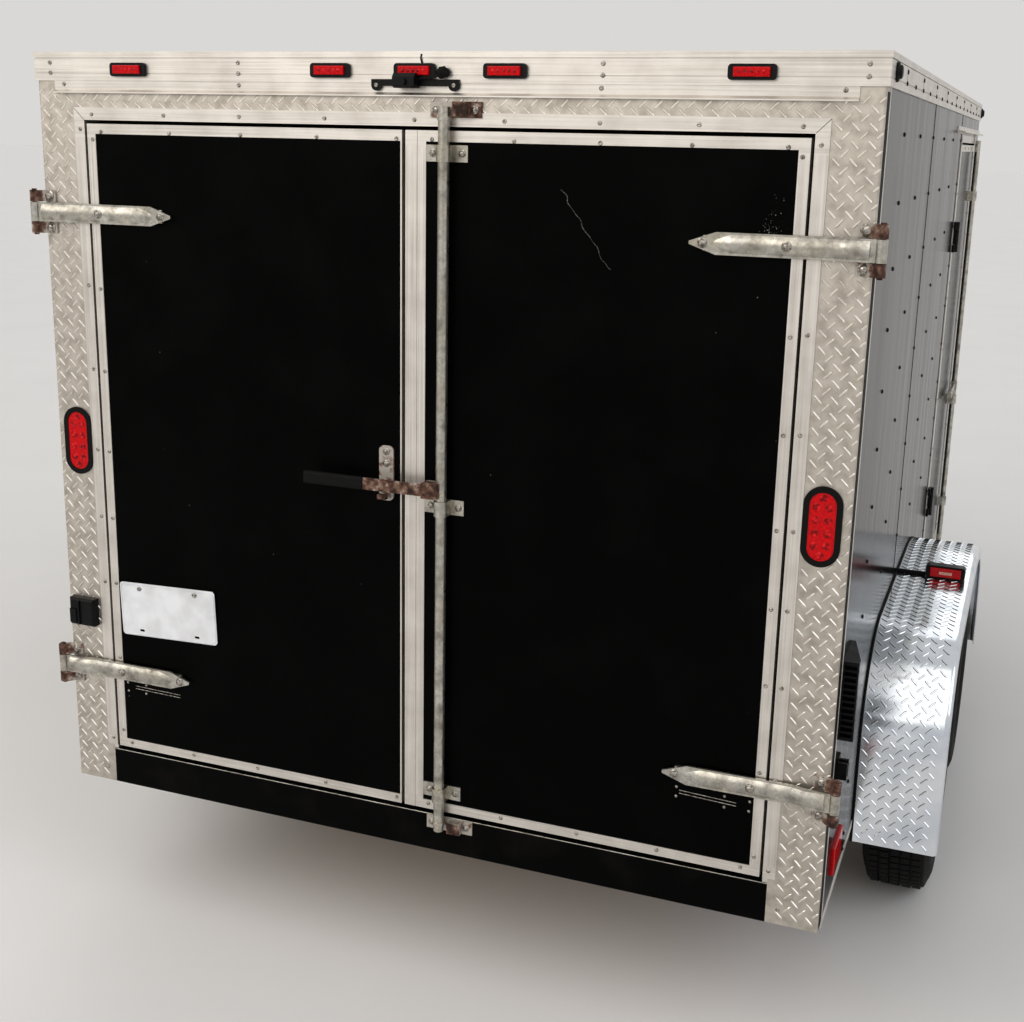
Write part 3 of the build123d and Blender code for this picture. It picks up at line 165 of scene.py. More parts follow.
# Satin black paint brushed on the doors: almost no shine, with upright brush marks, a long scratch,
# chips and pale specks
def brushedBlackPaint():
    finish = {"paint": "#010101", "worn": "#050505", "brush": 5, "brushDepth": 0.09, "coat": 190,
              "speckPitch": 62, "speckRadius": 0.022, "speckOver": 0.52,
              "chipSize": 4, "chipCloud": 130, "chipOver": 0.45, "chipEdge": (0.70, 0.84),
              "chip": "#2e2d2c", "bare": "#7d7b77",
              "scratch": ((366, 1713), (491, 1541)), "scratchWidth": 1.3, "bendSize": 45, "bend": 0.014,
              "innerEdge": 37.5, "innerFace": 39.5}
    material, tree, coords = startMaterial("brushedBlackPaint", finish["paint"], 0.5, ior=1.48, specular=0.03)
    tall = addNode(tree, "Mapping", {"Vector": coords}, {"Scale": (1, 1, 0.04)})
    patterns = {"brush": (tall, 2.0), "coat": (coords, 5.0), "chipSize": (coords, 3.0), "chipCloud": (coords, 2.0),
                "bendSize": (coords, 1.0)}
    brush, coat, rough, broad, bent = [
        addNode(tree, "TexNoise", {"Vector": along}, {"Scale": 1000 / finish[size], "Detail": detail})
        for size, (along, detail) in patterns.items()]
    paint = addNode(tree, "ValToRGB", {"Fac": coat}, stops=[(0.45, finish["paint"]), (0.9, finish["worn"])])
    gloss = addNode(tree, "MapRange", {"Value": coat}, {1: 0.35, 2: 0.7, 3: 0.34, 4: 0.52})
    cells = addNode(tree, "TexVoronoi", {"Vector": coords}, {"Scale": 1000 / finish["speckPitch"]})
    dots = addNode(tree, "Math", {0: cells}, {1: finish["speckRadius"]}, operation="LESS_THAN")
    chance = addNode(tree, "Math", {0: coat}, {1: finish["speckOver"]}, operation="GREATER_THAN")
    specks = addNode(tree, "Math", {0: dots, 1: chance}, operation="MULTIPLY")
    place = addNode(tree, "SeparateXYZ", {"Vector": coords}).outputs
    # chips only towards the right door's outer edge
    edge = addNode(tree, "MapRange", {"Value": place["X"]}, dict(enumerate((*finish["chipEdge"], 0.0, 1.0), 1)))
    flaked = addNode(tree, "Math", {0: rough, 1: broad}, operation="MULTIPLY")
    flaked = addNode(tree, "Math", {0: flaked, 1: edge}, operation="MULTIPLY")
    chips = addNode(tree, "Math", {0: flaked}, {1: finish["chipOver"]}, operation="GREATER_THAN")
    # the scratch lies on the X axis of its own turned and shifted coordinates
    (x1, z1), (x2, z2) = finish["scratch"]
    middle = fromRear((x1 + x2) / 2, 0, (z1 + z2) / 2)
    half = math.hypot(x2 - x1, z2 - z1) / 2 * mm
    line = addNode(tree, "Mapping", {"Vector": coords},
                   {"Location": middle, "Rotation": (0, -math.atan2(z2 - z1, x2 - x1), 0)}, vector_type="TEXTURE")
    along = addNode(tree, "SeparateXYZ", {"Vector": line}).outputs
    shift = addNode(tree, "MapRange", {"Value": bent}, {1: 0.0, 2: 1.0, 3: -finish["bend"], 4: finish["bend"]})
    off = addNode(tree, "Math", {0: along["Z"], 1: shift}, operation="ADD")
    narrow, short = [
        addNode(tree, "Math", {0: addNode(tree, "Math", {0: source}, operation="ABSOLUTE")}, {1: limit},
                operation="LESS_THAN")
        for source, limit in ((off, finish["scratchWidth"] / 2 * mm), (along["X"], half))]
    scratch = addNode(tree, "Math", {0: narrow, 1: short}, operation="MULTIPLY")
    marks = addNode(tree, "Math", {0: chips, 1: scratch}, operation="MAXIMUM")
    marks = addNode(tree, "Math", {0: marks, 1: specks}, operation="MAXIMUM")
    pale = addNode(tree, "ValToRGB", {"Fac": rough}, stops=[(0.4, finish["chip"]), (0.7, finish["bare"])])
    outside = addNode(tree, "Mix", {"Factor": marks, 6: paint, 7: pale}, data_type="RGBA")
    # the doors' inner faces are bare plywood
    edgeX, faceY = halfWidth - finish["innerEdge"] * mm, rearY + finish["innerFace"] * mm
    across = addNode(tree, "Math", {0: place["X"]}, {1: edgeX}, operation="LESS_THAN")
    inner = addNode(tree, "Math", {0: place["Y"]}, {1: faceY}, operation="GREATER_THAN")
    inner = addNode(tree, "Math", {0: inner, 1: across}, operation="MULTIPLY")
    both = addNode(tree, "Mix", {"Factor": inner, 6: outside.outputs[2], 7: plywoodLining(tree, tall)},
                   data_type="RGBA")
    relief = addNode(tree, "Bump", {"Height": brush}, {"Distance": finish["brushDepth"] * mm})
    return finishMaterial(material, both.outputs[2], gloss, relief)


# Black chassis enamel: a dull satin coat with road dust in its low spots
def chassisEnamel():
    finish = {"cloud": ("TexNoise", 120, 6.0), "colours": [(0.5, "#030303"), (0.85, "#12100f")],
              "gloss": (0.3, 0.8, 0.4, 0.7), "grain": ("TexNoise", 4, 2.0), "depth": 0.1}
    return cloudedFinish("chassisEnamel", finish, base="#030303", roughness=0.5, ior=1.5, specular=0.03)


# Aluminium tread plate: rolled grain under its bars, dull on the posts and bright on the fenders; the posts' copy is
# warm and darker, painted shade in warm light, and the fenders' copy is pale and bluish, a painted sky reflection
def treadPlate(name, clean, dull, cloud, roughness, depth):
    smooth, worn = roughness
    finish = {"cloud": ("TexNoise", cloud, 6.0), "colours": [(0.32, dull), (0.62, clean)],
              "gloss": (0.3, 0.7, worn, smooth), "grain": ("TexNoise", 2.5, 2.0), "depth": depth}
    return cloudedFinish(name, finish, base=clean, roughness=smooth, metallic=1.0)


# Mill-finish aluminium trim: grey white with fine lines drawn along the length of each extrusion
def millAluminium():
    finish = {"dull": "#bfb9b1", "clean": "#dad5ce", "cloud": 90, "line": 4.0, "lineDepth": 0.02,
              "crossAbove": 1803, "crossBelow": 149}
    material, tree, coords = startMaterial("millAluminium", finish["clean"], 0.36, 0.92)
    height = addNode(tree, "SeparateXYZ", {"Vector": coords}).outputs["Z"]
    # lines run upright on the upright trims, and across above the doors and on the roof's edge
    above, below = [addNode(tree, "Math", {0: height}, {1: postBottom + finish[level] * mm}, operation=side)
                    for level, side in (("crossAbove", "GREATER_THAN"), ("crossBelow", "LESS_THAN"))]
    high = addNode(tree, "Math", {0: above, 1: below}, operation="MAXIMUM")
    tall, wide = [addNode(tree, "Mapping", {"Vector": coords}, {"Scale": stretch})
                  for stretch in ((1, 1, 0.01), (0.01, 0.01, 1))]
    turned = addNode(tree, "Mix", {"Factor": high, 4: tall, 5: wide}, data_type="VECTOR")
    drawn = addNode(tree, "TexNoise", {"Vector": turned.outputs[1]}, {"Scale": 1000 / finish["line"]})
    cloud = addNode(tree, "TexNoise", {"Vector": coords}, {"Scale": 1000 / finish["cloud"], "Detail": 6.0})
    both = addNode(tree, "Math", {0: drawn, 1: cloud}, operation="ADD")
    mean = addNode(tree, "Math", {0: both}, {1: 0.5}, operation="MULTIPLY")
    base = addNode(tree, "ValToRGB", {"Fac": mean}, stops=[(0.34, finish["dull"]), (0.6, finish["clean"])])
    gloss = addNode(tree, "MapRange", {"Value": drawn}, {1: 0.3, 2: 0.7, 3: 0.34, 4: 0.46})
    relief = addNode(tree, "Bump", {"Height": drawn}, {"Distance": finish["lineDepth"] * mm})
    return finishMaterial(material, base, gloss, relief)


# Aluminium roof sheet: dull, dusty and slightly pillowed between its bows
def roofSheet():
    finish = {"cloud": ("TexNoise", 700, 7.0), "colours": [(0.35, "#b9b8b4"), (0.65, "#c6c6c5")],
              "gloss": (0.3, 0.7, 0.5, 0.42), "grain": ("TexNoise", 500, 1.0), "depth": 0.4}
    return cloudedFinish("roofSheet", finish, base="#c6c6c5", roughness=0.42, metallic=0.85)


# Hot-dip galvanised steel: grey zinc crystals, yellowed, with dark stains in patches
def galvanisedSteel():
    finish = {"stain": "#8a857c", "zinc": "#b6b3ab", "bright": "#d3d0c8", "yellow": "#d8cfb4", "fleck": "#d9d9d9",
              "clear": "#ffffff", "patch": 30, "tint": 60, "crystal": 7, "depth": 0.2}
    material, tree, coords = startMaterial("galvanisedSteel", finish["zinc"], 0.34, 0.95)
    patch = addNode(tree, "TexNoise", {"Vector": coords}, {"Scale": 1000 / finish["patch"], "Detail": 7.0})
    tint = addNode(tree, "TexNoise", {"Vector": coords}, {"Scale": 1000 / finish["tint"], "Detail": 3.0})
    crystal = addNode(tree, "TexVoronoi", {"Vector": coords}, {"Scale": 1000 / finish["crystal"]})
    grey = addNode(tree, "SeparateColor", {"Color": crystal.outputs["Color"]})
    base = addNode(tree, "ValToRGB", {"Fac": patch},
                   stops=[(0.3, finish["stain"]), (0.7, finish["bright"]), (0.48, finish["zinc"])])
    yellow = addNode(tree, "ValToRGB", {"Fac": tint}, stops=[(0.4, finish["clear"]), (0.75, finish["yellow"])])
    fleck = addNode(tree, "ValToRGB", {"Fac": grey}, stops=[(0.0, finish["fleck"]), (1.0, finish["clear"])])
    for layer, share in ((yellow, 0.55), (fleck, 0.8)):
        base = addNode(tree, "Mix", {6: base, 7: layer}, {"Factor": share}, data_type="RGBA",
                       blend_type="MULTIPLY").outputs[2]
    gloss = addNode(tree, "MapRange", {"Value": patch}, {1: 0.3, 2: 0.7, 3: 0.5, 4: 0.22})
    relief = addNode(tree, "Bump", {"Height": patch}, {"Distance": finish["depth"] * mm})
    return finishMaterial(material, base, gloss, relief)


# Steel plates whose zinc wore off: grey where it is left, brown rust towards the trailer's corners,
# on what stands proud near the lock and on the upper keeper
def rustedSteel():
    finish = {"deep": "#2b1c16", "rust": "#55382c", "pale": "#765b4c", "zinc": "#aaa49b", "patch": 18, "pit": 3,
              "pitDepth": 0.25, "cornerFrom": 20, "cornerTo": 6, "lockReach": 500, "proud": 24,
              "keeperSide": 100, "keeperLevel": 1860}
    material, tree, coords = startMaterial("rustedSteel", finish["rust"], 0.65, 0.4)
    patch = addNode(tree, "TexNoise", {"Vector": coords}, {"Scale": 1000 / finish["patch"], "Detail": 8.0})
    pit = addNode(tree, "TexNoise", {"Vector": coords}, {"Scale": 1000 / finish["pit"], "Detail": 4.0})
    place = addNode(tree, "SeparateXYZ", {"Vector": coords}).outputs
    across = addNode(tree, "Math", {0: place["X"]}, operation="ABSOLUTE")
    outer = addNode(tree, "MapRange", {"Value": across}, {1: halfWidth - finish["cornerFrom"] * mm,
                                                          2: halfWidth + finish["cornerTo"] * mm})
    limits = ((across, finish["lockReach"] * mm, "LESS_THAN"),
              (place["Y"], rearY - finish["proud"] * mm, "LESS_THAN"),
              (place["Z"], postBottom + finish["keeperLevel"] * mm, "GREATER_THAN"),
              (place["X"], finish["keeperSide"] * mm, "GREATER_THAN"))
    near, proud, upper, right = [addNode(tree, "Math", {0: source}, {1: limit}, operation=side)
                                 for source, limit, side in limits]
    keeper = addNode(tree, "Math", {0: upper, 1: right}, operation="MULTIPLY")
    rusted = proud
    for other, joined in ((keeper, "MAXIMUM"), (near, "MULTIPLY"), (outer, "MAXIMUM")):
        rusted = addNode(tree, "Math", {0: rusted, 1: other}, operation=joined)
    zinced = addNode(tree, "MapRange", {"Value": rusted}, {3: 0.2, 4: -0.03})
    level = addNode(tree, "Math", {0: patch, 1: zinced}, operation="ADD")
    base = addNode(tree, "ValToRGB", {"Fac": level}, stops=[
        (0.34, finish["deep"]), (0.68, finish["zinc"]), (0.46, finish["rust"]), (0.57, finish["pale"])])
    gloss = addNode(tree, "MapRange", {"Value": level}, {1: 0.4, 2: 0.7, 3: 0.85, 4: 0.4})
    relief = addNode(tree, "Bump", {"Height": pit}, {"Distance": finish["pitDepth"] * mm})
    return finishMaterial(material, base, gloss, relief)


# Moulded black ABS with a fine spark grain, faded a little where dust sits
def mouldedAbs():
    finish = {"cloud": ("TexNoise", 40, 4.0), "colours": [(0.4, "#050506"), (0.8, "#101011")],
              "gloss": (0.3, 0.7, 0.34, 0.52), "grain": ("TexNoise", 1.4, 2.0), "depth": 0.06}
    return cloudedFinish("mouldedAbs", finish, base="#050506", roughness=0.42, ior=1.53, specular=0.12)


# Moulded rubber, matt black and a little dusty
def mouldedRubber(name, rubber, dust, cloud, grain):
    finish = {"cloud": ("TexNoise", cloud, 6.0), "colours": [(0.42, rubber), (0.85, dust)],
              "gloss": (0.3, 0.7, 0.6, 0.85), "grain": ("TexNoise", grain, 3.0), "depth": 0.12}
    return cloudedFinish(name, finish, base=rubber, roughness=0.72, ior=1.52, specular=0.12)


# Red polycarbonate lens: a smooth skin, with small pillows moulded behind it that break up the red
def redPolycarbonate(name, red, bright, pillow):
    finish = {"cloud": ("TexVoronoi", pillow, 0.0), "colours": [(0.05, bright), (0.75, red)],
              "gloss": (0.0, 1.0, 0.1, 0.2), "depth": 0.06}
    return cloudedFinish(name, finish, base=red, roughness=0.14, ior=1.58, specular=0.12)


# White reflective sheeting pressed on an aluminium plate, faintly soiled
def reflectiveSheeting():
    finish = {"cloud": ("TexNoise", 60, 5.0), "colours": [(0.3, "#cfd1d4"), (0.6, "#e6e8ec")],
              "gloss": (0.3, 0.7, 0.45, 0.28), "grain": ("TexVoronoi", 1.5, 0.0), "depth": 0.02}
    return cloudedFinish("reflectiveSheeting", finish, base="#e6e8ec", roughness=0.34, ior=1.5, coat=(0.3, 0.1))


# Sealed plywood deck: long warm grain with darker late wood
def sealedPlywood():
    finish = {"late": "#8a6336", "early": "#c3a06c", "grain": 12, "broad": 160, "depth": 0.15}
    material, tree, coords = startMaterial("sealedPlywood", finish["early"], 0.55, ior=1.5)
    long = addNode(tree, "Mapping", {"Vector": coords}, {"Scale": (1, 0.04, 1)})
    grain = addNode(tree, "TexNoise", {"Vector": long}, {"Scale": 1000 / finish["grain"], "Detail": 7.0})
    broad = addNode(tree, "TexNoise", {"Vector": long}, {"Scale": 1000 / finish["broad"], "Detail": 3.0})
    both = addNode(tree, "Math", {0: grain, 1: broad}, operation="MULTIPLY")
    base = addNode(tree, "ValToRGB", {"Fac": both}, stops=[(0.15, finish["late"]), (0.36, finish["early"])])
    gloss = addNode(tree, "MapRange", {"Value": grain}, {1: 0.3, 2: 0.7, 3: 0.62, 4: 0.48})
    relief = addNode(tree, "Bump", {"Height": grain}, {"Distance": finish["depth"] * mm})
    return finishMaterial(material, base, gloss, relief)


# Silver wheel enamel over steel, browned by brake dust
def wheelEnamel():
    finish = {"cloud": ("TexNoise", 55, 7.0), "colours": [(0.33, "#857d74"), (0.55, "#bfc1c3")],
              "gloss": (0.3, 0.7, 0.55, 0.28), "grain": ("TexNoise", 2, 2.0), "depth": 0.04}
    return cloudedFinish("wheelEnamel", finish, base="#bfc1c3", roughness=0.35, metallic=0.55)


# Zinc-plated screws and bolts: dull grey, darker and lighter in a fine cloud
def platedFastener():
    finish = {"cloud": ("TexNoise", 5, 3.0), "colours": [(0.3, "#4f4943"), (0.72, "#c2beb6"), (0.52, "#98938b")],
              "gloss": (0.3, 0.7, 0.5, 0.28), "depth": 0.05}
    return cloudedFinish("platedFastener", finish, base="#98938b", roughness=0.38, metallic=0.95)


looks = {
    "body_black": blackEnamelSkin(),
    "door_black": brushedBlackPaint(),
    "frame_black": chassisEnamel(),
    # the posts' tread plate carries painted shade in warm light, the fenders' tread plate a painted sky reflection
    "tread_plate": treadPlate("paintedShadeTreadPlate", clean="#c4bdb3", dull="#a49d93", cloud=30,
                              roughness=(0.4, 0.52), depth=0.08),
    "bright_tread_plate": treadPlate("paintedSkyReflectionTreadPlate", clean="#e6ebf1", dull="#cdd5de", cloud=110,
                                     roughness=(0.09, 0.2), depth=0.02),
    "mill_aluminium": millAluminium(),
    "roof_sheet": roofSheet(),
    "galvanised": galvanisedSteel(),
    "weathered_steel": rustedSteel(),
    "black_plastic": mouldedAbs(),
    "black_rubber": mouldedRubber("mouldedRubber", rubber="#060606", dust="#121110", cloud=22, grain=1.8),
    "red_lens": redPolycarbonate("redLampLens", red="#b00008", bright="#d6030c", pillow=5.0),
    "plate_white": reflectiveSheeting(),
    "plywood": sealedPlywood(),
    "wheel_silver": wheelEnamel(),
    "tyre_rubber": mouldedRubber("tyreRubber", rubber="#0b0b0b", dust="#1f1d1b", cloud=55, grain=2.4),
}
fastener = platedFastener()
ledBead = redPolycarbonate("redLedBead", red="#6e0006", bright="#f01a20", pillow=9.0)
paleLens = redPolycarbonate("paleReflector", red="#d98a78", bright="#f0c4b4", pillow=3.0)
# the bars' crests are coloured lighter than their plates as a painted highlight: warm on the posts, cool and bluish on
# the fenders and the stone guard
warmBarPaintedHighlight = treadPlate("warmBarCrestPaintedHighlight", clean="#f1ece4", dull="#d8d1c7", cloud=40, roughness=(0.26, 0.36), depth=0.02)
coolBarPaintedHighlight = treadPlate("coolBarCrestPaintedHighlight", clean="#eef2f6", dull="#d7dde4", cloud=60, roughness=(0.12, 0.22),
                         depth=0.01)
for part in frame["record"]["subparts"]:
    node = frame["nodes"][part["node"]]
    node.data.materials.clear()
    node.data.materials.append(looks[part["material_slot"]])
print("materials ready", len(looks))


def addObject(name, data):
    made = bpy.data.objects.new(name, data)
    bpy.context.scene.collection.objects.link(made)
    return made


# the plain mesh that a curve or a modifier makes takes the place of its source
def bakeObject(name, source):
    bpy.context.view_layer.update()
    mesh = bpy.data.meshes.new_from_object(source.evaluated_get(bpy.context.evaluated_depsgraph_get()))
    mesh.name = name
    bpy.data.objects.remove(source)
    return addObject(name, mesh)


def shade(piece, smooth):
    piece.data.polygons.foreach_set("use_smooth", [smooth] * len(piece.data.polygons))
    return piece


def meshObject(name, vertices, faces, smooth=False):
    mesh = bpy.data.meshes.new(name)
    mesh.from_pydata([tuple(v) for v in vertices], [], faces)
    tidy = bmesh.new()
    tidy.from_mesh(mesh)
    bmesh.ops.recalc_face_normals(tidy, faces=tidy.faces)
    tidy.to_mesh(mesh)
    tidy.free()
    return shade(addObject(name, mesh), smooth)


# a piece without a finish of its own wears the look of its slot
def placePiece(piece, slot, body="trailer_body", finish=None):
    piece.data.materials.clear()
    piece.data.materials.append(finish or looks[slot])
    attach(piece, body)
    return piece


# turns an outline of (radius, height) round Z, or round X when the centre of a wheel is given
def lathe(name, outline, segments, centre=None, closed=False, smooth=True):
    vertices = []
    rings = [(r, h) for r, h in outline if r > 0]
    for step in range(segments):
        turn = 2 * math.pi * step / segments
        for r, h in rings:
            if centre is None:
                vertices.append((r * math.cos(turn), r * math.sin(turn), h))
            else:
                vertices.append(centre + Vector((h, r * math.cos(turn), r * math.sin(turn))))
    count = len(rings)
    faces = []
    for step in range(segments):
        nextStep = (step + 1) % segments
        for i in range(count if closed else count - 1):
            j = (i + 1) % count
            faces.append((step * count + i, nextStep * count + i, nextStep * count + j, step * count + j))
    for end, i in (() if closed else ((outline[0], 0), (outline[-1], count - 1))):
        ring = [step * count + i for step in range(segments)]
        if end[0] == 0:
            tip = len(vertices)
            vertices.append((0, 0, end[1]) if centre is None else centre + Vector((end[1], 0, 0)))
            faces += [(ring[step], ring[(step + 1) % segments], tip) for step in range(segments)]
        else:
            faces.append(ring)
    return meshObject(name, vertices, faces, smooth)


def tube(name, points, radius, slot, body="trailer_body", closed=False):
    curve = bpy.data.curves.new(name + "Line", "CURVE")
    curve.dimensions = "3D"
    curve.bevel_depth = radius * mm
    curve.bevel_resolution = 2
    curve.use_fill_caps = True
    spline = curve.splines.new("POLY")
    spline.points.add(len(points) - 1)
    for point, place in zip(spline.points, points):
        point.co = (*place, 1.0)
    spline.use_cyclic_u = closed
    return placePiece(shade(bakeObject(name, addObject(name + "Line", curve)), True), slot, body)


# flat bars with broken edges, each from one point to another on a face that looks along "out"
def strips(name, rows, slot, body="trailer_body", finish=None):
    vertices = []
    faces = []
    for start, end, out, width, height in rows:
        along = (end - start).normalized()
        side = along.cross(out).normalized() * width / 2 * mm
        rise = out * height * mm
        lean = side.normalized() * min(height, width / 3) * 0.5 * mm
        section = [-side - rise * 0.2, -side + rise * 0.6, -side + lean + rise,
                   side - lean + rise, side + rise * 0.6, side - rise * 0.2]
        first = len(vertices)
        vertices += [start + point for point in section] + [end + point for point in section]
        faces += [(first + i, first + (i + 1) % 6, first + 6 + (i + 1) % 6, first + 6 + i) for i in range(6)]
        faces += [tuple(first + i for i in range(6)), tuple(first + 6 + i for i in range(6))]
    return placePiece(meshObject(name, vertices, faces), slot, body, finish)


def repeatTree():
    tree = bpy.data.node_groups.new("repeatOnPoints", "GeometryNodeTree")
    sockets = [("Points", "Geometry"), ("Head", "Object"), ("Finish", "Material"), ("Length", "Float"),
               ("Width", "Float"), ("Height", "Float"), ("Loose turn", "Float"), ("Seed", "Int")]
    for name, kind in sockets:
        tree.interface.new_socket(name, in_out="INPUT", socket_type="NodeSocket" + kind)
    tree.interface.new_socket("Result", in_out="OUTPUT", socket_type="NodeSocketGeometry")
    given = addNode(tree, "NodeGroupInput").outputs
    head = addNode(tree, "GeometryNodeObjectInfo", {"Object": given["Head"]})
    turn = addNode(tree, "GeometryNodeInputNamedAttribute", values={"Name": "turn"}, data_type="FLOAT_VECTOR")
    facing = addNode(tree, "FunctionNodeEulerToRotation", {"Euler": turn.outputs["Attribute"]})
    least = addNode(tree, "Math", {0: given["Loose turn"]}, {1: -1.0}, operation="MULTIPLY")
    loose = addNode(tree, "FunctionNodeRandomValue", {2: least, 3: given["Loose turn"], "Seed": given["Seed"]},
                    data_type="FLOAT")
    spin = addNode(tree, "CombineXYZ", {"Z": loose.outputs[1]})
    turned = addNode(tree, "FunctionNodeEulerToRotation", {"Euler": spin})
    spun = addNode(tree, "FunctionNodeRotateRotation", {"Rotation": facing, "Rotate By": turned},
                   rotation_space="LOCAL")
    size = addNode(tree, "CombineXYZ", {"X": given["Length"], "Y": given["Width"], "Z": given["Height"]})
    placed = addNode(tree, "GeometryNodeInstanceOnPoints", {
        "Points": given["Points"], "Instance": head.outputs["Geometry"], "Rotation": spun, "Scale": size})
    solid = addNode(tree, "GeometryNodeRealizeInstances", {"Geometry": placed})
    painted = addNode(tree, "GeometryNodeSetMaterial", {"Geometry": solid, "Material": given["Finish"]})
    addNode(tree, "NodeGroupOutput", {"Result": painted})
    return tree


repeater = repeatTree()
socketOf = {item.name: item.identifier for item in repeater.interface.items_tree if item.in_out == "INPUT"}


# one head of unit size at each place, scaled to size (length, width, height in mm), on the face that looks "out"
def repeat(name, places, head, size, slot, body="trailer_body", finish=None, looseTurn=0.0):
    mesh = bpy.data.meshes.new(name + "Points")
    mesh.from_pydata([tuple(place) for place, out, rise in places], [], [])
    turns = mesh.attributes.new("turn", "FLOAT_VECTOR", "POINT")
    for i, (place, out, rise) in enumerate(places):
        side = Vector(rise).cross(Vector(out)).normalized()
        lift = Vector(out).cross(side).normalized()
        turns.data[i].vector = Matrix((side, lift, Vector(out).normalized())).transposed().to_euler()
    points = addObject(name + "Points", mesh)
    modifier = points.modifiers.new("repeat", "NODES")
    modifier.node_group = repeater
    given = {"Head": head, "Finish": finish or looks[slot], "Length": size[0] * mm, "Width": size[1] * mm,
             "Height": size[2] * mm, "Loose turn": looseTurn, "Seed": 3}
    for socket, value in given.items():
        modifier[socketOf[socket]] = value
    return placePiece(bakeObject(name, points), slot, body, finish)


# plated screws and bolts; pan heads come to rest at any turn
def fasten(name, places, head, size, body="trailer_body", slot="galvanised", looseTurn=0.0):
    return repeat(name, places, head, size, slot, body, fastener, looseTurn)


def prism(name, foot, crest):
    count = len(foot)
    faces = [(i, (i + 1) % count, count + (i + 1) % count, count + i) for i in range(count)]
    return meshObject(name, foot + crest, faces + [tuple(range(count, 2 * count)), tuple(range(count))])


# unit heads: radius 0.5 and height 1
barFoot = [(-0.5, 0), (-0.28, -0.5), (0.28, -0.5), (0.5, 0), (0.28, 0.5), (-0.28, 0.5)]
blockFoot = [(-0.5, -0.5, 0), (0.5, -0.42, 0), (0.5, 0.5, 0), (-0.5, 0.42, 0)]
bar = prism("treadBarHead", [(x, y, -0.15) for x, y in barFoot], [(x * 0.84, y * 0.4, 1) for x, y in barFoot])
block = prism("treadBlockHead", blockFoot, [(x * 0.92, y * 0.94, 1) for x, y, z in blockFoot])
panHead = lathe("panHead", [(0.5, -0.1), (0.5, 0.3), (0.4, 0.82), (0.14, 0.98), (0.1, 0.55), (0, 0.55)], 14)
domeHead = lathe("domeHead", [(0.5, -0.1), (0.5, 0.2), (0.42, 0.6), (0.25, 0.9), (0, 1.0)], 12)
boltHead = lathe("boltHead", [(0.5, -0.05), (0.5, 0.16), (0.47, 0.2), (0.36, 0.2), (0.35, 0.5), (0.27, 0.82),
                              (0.1, 1.0), (0, 1.0)], 18)
nutHead = lathe("nutHead", [(0.5, 0), (0.5, 0.6), (0.44, 0.7), (0.25, 0.7), (0.25, 1.0), (0, 1.0)], 6, smooth=False)
tread = {"pitch": 36.0, "loose": 0.03, "bar": (30, 5.2, 1.6), "brightBar": (28, 5.6, 1.5),
         "cutBar": (21, 5.2, 1.6)}
screwTurn = 3.1
hands = (("right", 1), ("left", -1))
doorHands = ((-1, "rear_door_left"), (1, "rear_door_right"))


# a place on the rear face, in mm
def rearSpot(x, depth, height):
    return fromRear(x, depth, height), back, up


# a place on a side face
def sideSpot(hand, x, y, z):
    return Vector((hand * x, y, z)), curb * hand, up


# a strip on a side face, from one (y, z) to another
def sideStrip(hand, x, start, end, width, height):
    return Vector((hand * x, *start)), Vector((hand * x, *end)), curb * hand, width, height


# the places of both bar directions on a flat width and length in mm: (x, y, lean)
def treadPlaces(width, length, margin):
    places = []
    step = tread["pitch"] / 2
    for row in range(int(length / step) + 2):
        for column in range(int(width / step) + 2):
            x, y = column * step, row * step
            inside = margin[0] <= x <= width - margin[1] and margin[0] <= y <= length - margin[1]
            if (row + column) % 2 == 0 and inside:
                places.append((x, y, 1 if column % 2 else -1))
    return places


def slanted(first, second, lean):
    return (first * lean + second).normalized()


# bars of one size over a sheet, each a little off its line
def treadBars(name, places, size, slot, crest):
    repeat(name, places, bar, tread[size], slot, finish=crest, looseTurn=tread["loose"])


def postAndHeaderTread():
    post = {"spare": 4, "rise": 1942, "margin": (9, 13), "shift": (-4.4, 7), "top": 1930,
            "cutBars": 53, "cutX": 100.5, "cutFoot": 43}
    lampCut = {"inset": 44, "half": 49, "radius": 48}
    header = {"inset": 14, "rows": (1885, 1901)}
    left = trimOuter / mm
    wide = halfWidth / mm - left
    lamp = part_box("tail_lamp_grommets")
    lampX = lamp[1].x / mm - lampCut["inset"]
    lampZ = ((lamp[0].z + lamp[1].z) / 2 - postBottom) / mm
    places = []
    for x, z, lean in treadPlaces(wide + post["spare"], post["rise"], post["margin"]):
        x, z = x + post["shift"][0], z + post["shift"][1]
        beyond = max(0, abs(z - lampZ) - lampCut["half"])
        if math.hypot(left + x - lampX, beyond) < lampCut["radius"] or z > post["top"]:
            continue
        places += [(fromRear(hand * (left + x), 0, z), back, slanted(curb, up, lean)) for hand in (-1, 1)]
    cut = [(fromRear(hand * (left + post["cutX"]), 0, post["cutFoot"] + tread["pitch"] * i), back,
            slanted(curb, up, -1)) for i in range(post["cutBars"]) for hand in (-1, 1)]
    treadBars("postEdgeBars", cut, "cutBar", "tread_plate", warmBarPaintedHighlight)
    for i in range(int(2 * left / tread["pitch"])):
        x = i * tread["pitch"] - left + header["inset"]
        for shift, z, lean in zip((0, tread["pitch"] / 2), header["rows"], (1, -1)):
            places.append((fromRear(x + shift, 0, z), back, slanted(curb, up, lean)))
    treadBars("postTreadBars", places, "bar", "tread_plate", warmBarPaintedHighlight)
    print("post and header bars", len(places))


